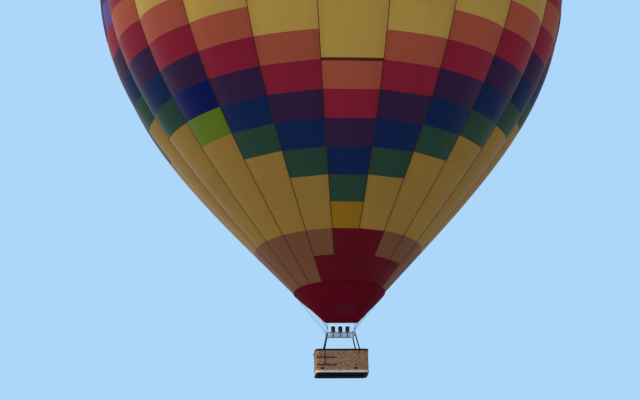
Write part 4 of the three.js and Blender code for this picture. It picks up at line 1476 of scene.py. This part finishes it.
def make_runners(look, steel):
    """Three runners, with bolt heads under them."""
    # The runners take the same near black, partly dark stain and partly painted shade
    paint = wood("runner_wood", look.paint, 0.8, 0.05)
    metal = brushed_steel("runner_bolts", steel.bolts, 0.4)
    profile = [(0.014, 0.001), (0.014, 0.004), (0.010, 0.006)]
    for number in (1, 2, 3):
        low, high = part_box(f"runner_{number}")
        runner = block((low + high) / 2, high - low, 0.010, 3)
        for x in np.linspace(low.x, high.x, 9)[1:-1]:
            with editing():
                bpy.ops.mesh.bisect(plane_co=(x, 0, 0), plane_no=(1, 0, 0))
        settle(runner, f"skid_{number}")
        dress(runner, paint, replaces=[f"runner_{number}"])
        xs = np.linspace(low.x + 0.1, high.x - 0.1, 6)
        heads = [turned(profile, 6, x, (low.y + high.y) / 2, low.z) for x in xs]
        dress(join(heads, f"skid_bolts_{number}", 30), metal)


def make_wall_trim(look):
    """Cylinder straps and wire sheaths on the outside of the wall."""
    strapping = leather("strap_leather", look.strap)
    buckle = oval(0.006, 0.034, 10, 0.5)
    for name, side, left in (("front", -1, -1.31), ("rear", 1, -1.30)):
        build = Build()
        out = BACK * side
        y = BASKET_HALF_Y + TRIM_OUT
        xs = np.linspace(left, -0.305, 24)
        bow = 0.0035 * np.sin((xs + 1.31) * 2 * math.pi / 0.39) ** 2
        for z in STRAP_HEIGHTS:
            line = lifted(pairs(xs, side * (y + bow)), z)
            strap(build, line - UP * STRAP_HALF, line + UP * STRAP_HALF, out, 0.005)
            ends = lifted(pairs(np.array([-0.330, -0.296]), side * (y + 0.006)), z)
            build.tube(ends, out, UP, buckle)
        dress(build.make(f"cylinder_straps_{name}", 40), strapping)

    build = Build()
    for side_x, side_y in CORNERS.values():
        x = side_x * (UPRIGHT_FOOT_X - 0.015)
        foot = RIM_TOP - 0.85 if side_x < 0 else RIM_FOOT - 0.16
        heights = np.linspace(RIM_FOOT + 0.012, foot, 20)
        y = side_y * (BASKET_HALF_Y + TRIM_OUT + 0.007 * np.clip(np.arange(20) / 3, 0, 1))
        build.tube(lifted(pairs(x, y), heights), BACK * side_y, RIGHT, oval(0.009, 0.019, 10, 0.8))
    dress(build.make("wire_sheaths"), strapping)


def make_foot_holes(look):
    """Foot holes in the wall, each an edge of leather round a dark back."""
    edges, backs = [], []
    z = BAND_TOP + 0.06
    for x in (-1.02, 0.68):
        for side in (-1, 1):
            hoop = frame_tube(0.070, 0.034, 0.030, 0, 0.010)
            bpy.ops.transform.rotate(value=-math.pi / 2, orient_axis="X", center_override=(0, 0, 0))
            hoop.location = (x, side * (BASKET_HALF_Y + 0.0015), z)
            edges.append(hoop)
            backs.append(block((x, side * (BASKET_HALF_Y - 0.004), z), (0.130, 0.016, 0.060), 0.006))
    dress(join(edges, "foot_hole_edges", 50), leather("edge_leather", look.strap))
    dress(join(backs, "foot_hole_backs", 50), leather("hole_leather", look.padding))


def make_cylinders(look, steel):
    """Fuel cylinders with a foot ring, a collar and valves."""
    metal = brushed_steel("cylinder_aluminium", look.aluminium, 0.34)
    brass = brushed_steel("cylinder_brass", steel.brass, 0.3)
    red_handle = enamel("cylinder_handle", steel.handle)
    foot, top = (corner.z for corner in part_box("fuel_cylinder_1"))
    places = [(x, side * CYLINDER_Y) for side in (-1, 1) for x in CYLINDER_XS]
    # Radii with heights above the foot, then with depths below the top, down into the collar
    wide, groove = CYLINDER_RADIUS, CYLINDER_RADIUS - 0.0018
    lower = (
        (0.142, 0), (0.150, 0.006), (0.150, 0.036), (0.144, 0.042), (0.160, 0.058), (0.173, 0.080),
        (wide, 0.105), (wide, 0.36), (groove, 0.364), (groove, 0.376), (wide, 0.38),
    )
    upper = (
        (wide, 0.185), (0.172, 0.155), (0.155, 0.122), (0.130, 0.100), (0.105, 0.088), (0.105, 0.006),
        (0.102, 0), (0.096, 0), (0.096, 0.080), (0.060, 0.076), (0.028, 0.070), (0.026, 0.050),
        (0.020, 0.048),
    )
    profile = [(radius, foot + z) for radius, z in lower] + [(radius, top - z) for radius, z in upper]
    valve = [(0.016, -0.052), (0.018, -0.044), (0.018, -0.026), (0.008, -0.022)]
    hub = [(0.006, -0.024), (0.006, -0.010), (0.004, -0.009)]
    for number, (x, y) in enumerate(places, 1):
        body = settle(turned(profile, 48, x, y), f"gas_cylinder_{number}", 30)
        dress(body, metal, replaces=[f"fuel_cylinder_{number}"])
        fittings = [
            turned(valve, 12, x, y, top),
            rod((x, y, top - 0.036), (x + 0.055, y, top - 0.036), 0.010),
            rod((x - 0.05, y + 0.02, top - 0.070), (x - 0.05, y + 0.02, top - 0.035), 0.013),
        ]
        dress(join(fittings, f"cylinder_valve_{number}"), brass)
        wheel = [
            ring((x, y, top - 0.014), 0.022, 0.006, segments=20),
            turned(hub, 10, x, y, top),
            rod((x - 0.022, y, top - 0.014), (x + 0.022, y, top - 0.014), 0.0035, 8),
        ]
        dress(join(wheel, f"cylinder_wheel_{number}"), red_handle)

    build = Build()
    turns = np.linspace(0, 2 * np.pi, 49)
    out = lifted(pairs(np.cos(turns), np.sin(turns)), 0)
    for x, y in places:
        for z in STRAP_HEIGHTS:
            path = out * (CYLINDER_RADIUS + 0.0025) + (x, y, z)
            build.tube(path, out, UP, oval(0.003, STRAP_HALF, 8, 0.5), closed=True)
    dress(build.make("cylinder_bands"), webbing("band_webbing", look.strap))


# Stage


def make_camera(scene):
    """Camera at the photograph's place."""
    turn, pitch = CAMERA_TURN, CAMERA_PITCH
    forward = Vector((math.sin(turn) * math.cos(pitch), math.cos(turn) * math.cos(pitch), math.sin(pitch)))
    right = Vector((math.cos(turn), -math.sin(turn), 0))
    up = right.cross(forward)
    rolled = Matrix.Rotation(CAMERA_ROLL, 3, forward)
    axes = Matrix((rolled @ right, rolled @ up, -forward)).transposed().to_4x4()
    lens = bpy.data.cameras.new("photo_camera")
    lens.sensor_width = SENSOR
    lens.lens = FOCAL_PIXELS / PHOTO_WIDTH * SENSOR
    lens.clip_end = 5000
    camera = bpy.data.objects.new("photo_camera", lens)
    camera.matrix_world = Matrix.Translation(CAMERA_PLACE) @ axes
    scene.collection.objects.link(camera)
    scene.camera = camera


def make_lamp(scene, name, strength, way, spread):
    """A wide lamp that shines from a way towards the balloon."""
    lamp = bpy.data.lights.new(name, "SUN")
    lamp.energy = strength
    lamp.angle = spread
    holder = bpy.data.objects.new(name, lamp)
    holder.rotation_mode = "QUATERNION"
    holder.rotation_quaternion = (-Vector(way)).to_track_quat("-Z", "Y")
    scene.collection.objects.link(holder)


def make_backdrop(scene, look):
    """A pale backdrop for the camera, and soft light from all round for the rest."""
    world = bpy.data.worlds.new("studio")
    scene.world = world
    world.use_nodes = True
    tree = world.node_tree
    seen, soft = tree.nodes["Background"], tree.nodes.new("ShaderNodeBackground")
    for node, shade, strength in ((seen, look.backdrop, 1.0), (soft, look.fill, look.fill_strength)):
        node.inputs["Color"].default_value = (*shade, 1)
        node.inputs["Strength"].default_value = strength
    choose = tree.nodes.new("ShaderNodeMixShader")
    tree.links.new(tree.nodes.new("ShaderNodeLightPath").outputs["Is Camera Ray"], choose.inputs["Fac"])
    tree.links.new(soft.outputs["Background"], choose.inputs[1])
    tree.links.new(seen.outputs["Background"], choose.inputs[2])
    tree.links.new(choose.outputs["Shader"], tree.nodes["World Output"].inputs["Surface"])
    scene.view_settings.view_transform = "Standard"


def make_stage(look):
    """Camera, soft lamps, a pale backdrop and a pale floor."""
    scene = bpy.context.scene
    make_camera(scene)
    make_lamp(scene, "key_lamp", look.key_strength, (-0.75, 0.20, 0.75), 0.7)
    make_lamp(scene, "second_lamp", look.second_strength, (-0.62, -0.78, 0.1), 1.0)
    make_backdrop(scene, look)
    plane = bpy.ops.mesh.primitive_plane_add
    floor = settle(add(plane, size=2 * FLOOR_HALF, location=(0, 0, FLOOR_Z)), "studio_floor")
    shader = Shader("studio_floor", 0.9)
    grain = shader.noise(shader.place(), 0.05, 2.0)
    shader.set(Base_Color=shader.tint(0.98 + 0.03 * grain, look.floor))
    floor.data.materials.append(shader.material)


# Operators, in the order in which main calls them


class BALLOON_OT_stage(bpy.types.Operator):
    """Sets the camera, lamps, backdrop and floor"""

    bl_idname = "balloon.stage"
    bl_label = "Stage"

    def execute(self, context):
        make_stage(context.scene.balloon_stage)
        return {"FINISHED"}


class BALLOON_OT_gores(bpy.types.Operator):
    """Sews the twenty gores in their panel colours"""

    bl_idname = "balloon.gores"
    bl_label = "Gores"

    def execute(self, context):
        make_gores(context.scene.balloon_cloth)
        return {"FINISHED"}


class BALLOON_OT_load_tapes(bpy.types.Operator):
    """Lays the load tapes along the seams"""

    bl_idname = "balloon.load_tapes"
    bl_label = "Load tapes"

    def execute(self, context):
        make_load_tapes(context.scene.balloon_cloth)
        return {"FINISHED"}


class BALLOON_OT_crown(bpy.types.Operator):
    """Makes the parachute vent, the crown straps and the crown ring"""

    bl_idname = "balloon.crown"
    bl_label = "Crown"

    def execute(self, context):
        make_vent(context.scene.balloon_cloth)
        make_crown(context.scene.balloon_cloth, context.scene.balloon_steel)
        return {"FINISHED"}


class BALLOON_OT_turning_vents(bpy.types.Operator):
    """Makes the two turning vents"""

    bl_idname = "balloon.turning_vents"
    bl_label = "Turning vents"

    def execute(self, context):
        make_turning_vents(context.scene.balloon_cloth)
        return {"FINISHED"}


class BALLOON_OT_mouth(bpy.types.Operator):
    """Makes the mouth's hem, the scoop and its edge tape"""

    bl_idname = "balloon.mouth"
    bl_label = "Mouth and scoop"

    def execute(self, context):
        make_scoop_edge(context.scene.balloon_cloth)
        make_mouth(context.scene.balloon_cloth)
        return {"FINISHED"}


class BALLOON_OT_wires(bpy.types.Operator):
    """Strings the flying wires"""

    bl_idname = "balloon.wires"
    bl_label = "Flying wires"

    def execute(self, context):
        make_wires(context.scene.balloon_steel)
        return {"FINISHED"}


class BALLOON_OT_karabiners(bpy.types.Operator):
    """Makes the four screw links"""

    bl_idname = "balloon.karabiners"
    bl_label = "Karabiners"

    def execute(self, context):
        make_karabiners(context.scene.balloon_steel)
        return {"FINISHED"}


class BALLOON_OT_frame(bpy.types.Operator):
    """Makes the load frame and the gimbal ring"""

    bl_idname = "balloon.frame"
    bl_label = "Load frame and gimbal"

    def execute(self, context):
        make_load_frame(context.scene.balloon_steel)
        make_gimbal(context.scene.balloon_steel)
        return {"FINISHED"}


class BALLOON_OT_burners(bpy.types.Operator):
    """Makes the burner rack and the three burners"""

    bl_idname = "balloon.burners"
    bl_label = "Burners"

    def execute(self, context):
        make_burner_rack(context.scene.balloon_steel)
        make_burner_valves(context.scene.balloon_steel)
        make_burner_cans(context.scene.balloon_steel)
        return {"FINISHED"}


class BALLOON_OT_uprights(bpy.types.Operator):
    """Makes the padded sleeves of the uprights"""

    bl_idname = "balloon.uprights"
    bl_label = "Uprights"

    def execute(self, context):
        make_uprights(context.scene.balloon_basket)
        return {"FINISHED"}


class BALLOON_OT_wicker(bpy.types.Operator):
    """Weaves the basket's wall and partitions"""

    bl_idname = "balloon.wicker"
    bl_label = "Wicker"

    def execute(self, context):
        make_wicker(context.scene.balloon_basket)
        return {"FINISHED"}


class BALLOON_OT_pads(bpy.types.Operator):
    """Makes the padded rim and the partitions' rolls"""

    bl_idname = "balloon.pads"
    bl_label = "Pads"

    def execute(self, context):
        make_pads(context.scene.balloon_basket)
        return {"FINISHED"}


class BALLOON_OT_foot(bpy.types.Operator):
    """Makes the rawhide band, the floor and the runners"""

    bl_idname = "balloon.foot"
    bl_label = "Foot of the basket"

    def execute(self, context):
        make_band(context.scene.balloon_basket)
        make_floor(context.scene.balloon_basket)
        make_runners(context.scene.balloon_basket, context.scene.balloon_steel)
        return {"FINISHED"}


class BALLOON_OT_wall_trim(bpy.types.Operator):
    """Makes the straps, wire sheaths and foot holes on the wall"""

    bl_idname = "balloon.wall_trim"
    bl_label = "Wall trim"

    def execute(self, context):
        make_wall_trim(context.scene.balloon_basket)
        make_foot_holes(context.scene.balloon_basket)
        return {"FINISHED"}


class BALLOON_OT_cylinders(bpy.types.Operator):
    """Makes the fuel cylinders"""

    bl_idname = "balloon.cylinders"
    bl_label = "Fuel cylinders"

    def execute(self, context):
        make_cylinders(context.scene.balloon_basket, context.scene.balloon_steel)
        return {"FINISHED"}


OPERATORS = (
    BALLOON_OT_stage, BALLOON_OT_gores, BALLOON_OT_load_tapes, BALLOON_OT_crown, BALLOON_OT_turning_vents,
    BALLOON_OT_mouth, BALLOON_OT_wires, BALLOON_OT_karabiners, BALLOON_OT_frame, BALLOON_OT_burners,
    BALLOON_OT_uprights, BALLOON_OT_wicker, BALLOON_OT_pads, BALLOON_OT_foot, BALLOON_OT_wall_trim,
    BALLOON_OT_cylinders,
)


class BALLOON_PT_pieces(bpy.types.Panel):
    """Lists the balloon's colours, sizes and makers"""

    bl_label = "Hot air balloon"
    bl_idname = "BALLOON_PT_pieces"
    bl_space_type = "VIEW_3D"
    bl_region_type = "UI"
    bl_category = "Balloon"

    def draw(self, context):
        for group in GROUPS:
            look = getattr(context.scene, group)
            box = self.layout.box()
            for name in GROUPS[group].__annotations__:
                box.prop(look, name)
        for operator in OPERATORS:
            self.layout.operator(operator.bl_idname)


GROUPS = {
    "balloon_cloth": BalloonCloth,
    "balloon_steel": BalloonSteel,
    "balloon_basket": BalloonBasket,
    "balloon_stage": BalloonStage,
}


def register():
    for group in GROUPS.values():
        bpy.utils.register_class(group)
    for name, group in GROUPS.items():
        setattr(bpy.types.Scene, name, bpy.props.PointerProperty(type=group))
    for operator in OPERATORS:
        bpy.utils.register_class(operator)
    bpy.utils.register_class(BALLOON_PT_pieces)


def unregister():
    bpy.utils.unregister_class(BALLOON_PT_pieces)
    for operator in reversed(OPERATORS):
        bpy.utils.unregister_class(operator)
    for name in GROUPS:
        delattr(bpy.types.Scene, name)
    for group in reversed(GROUPS.values()):
        bpy.utils.unregister_class(group)


def main():
    register()
    for operator in OPERATORS:
        group, name = operator.bl_idname.split(".")
        getattr(getattr(bpy.ops, group), name)()


if __name__ == "__main__":
    main()
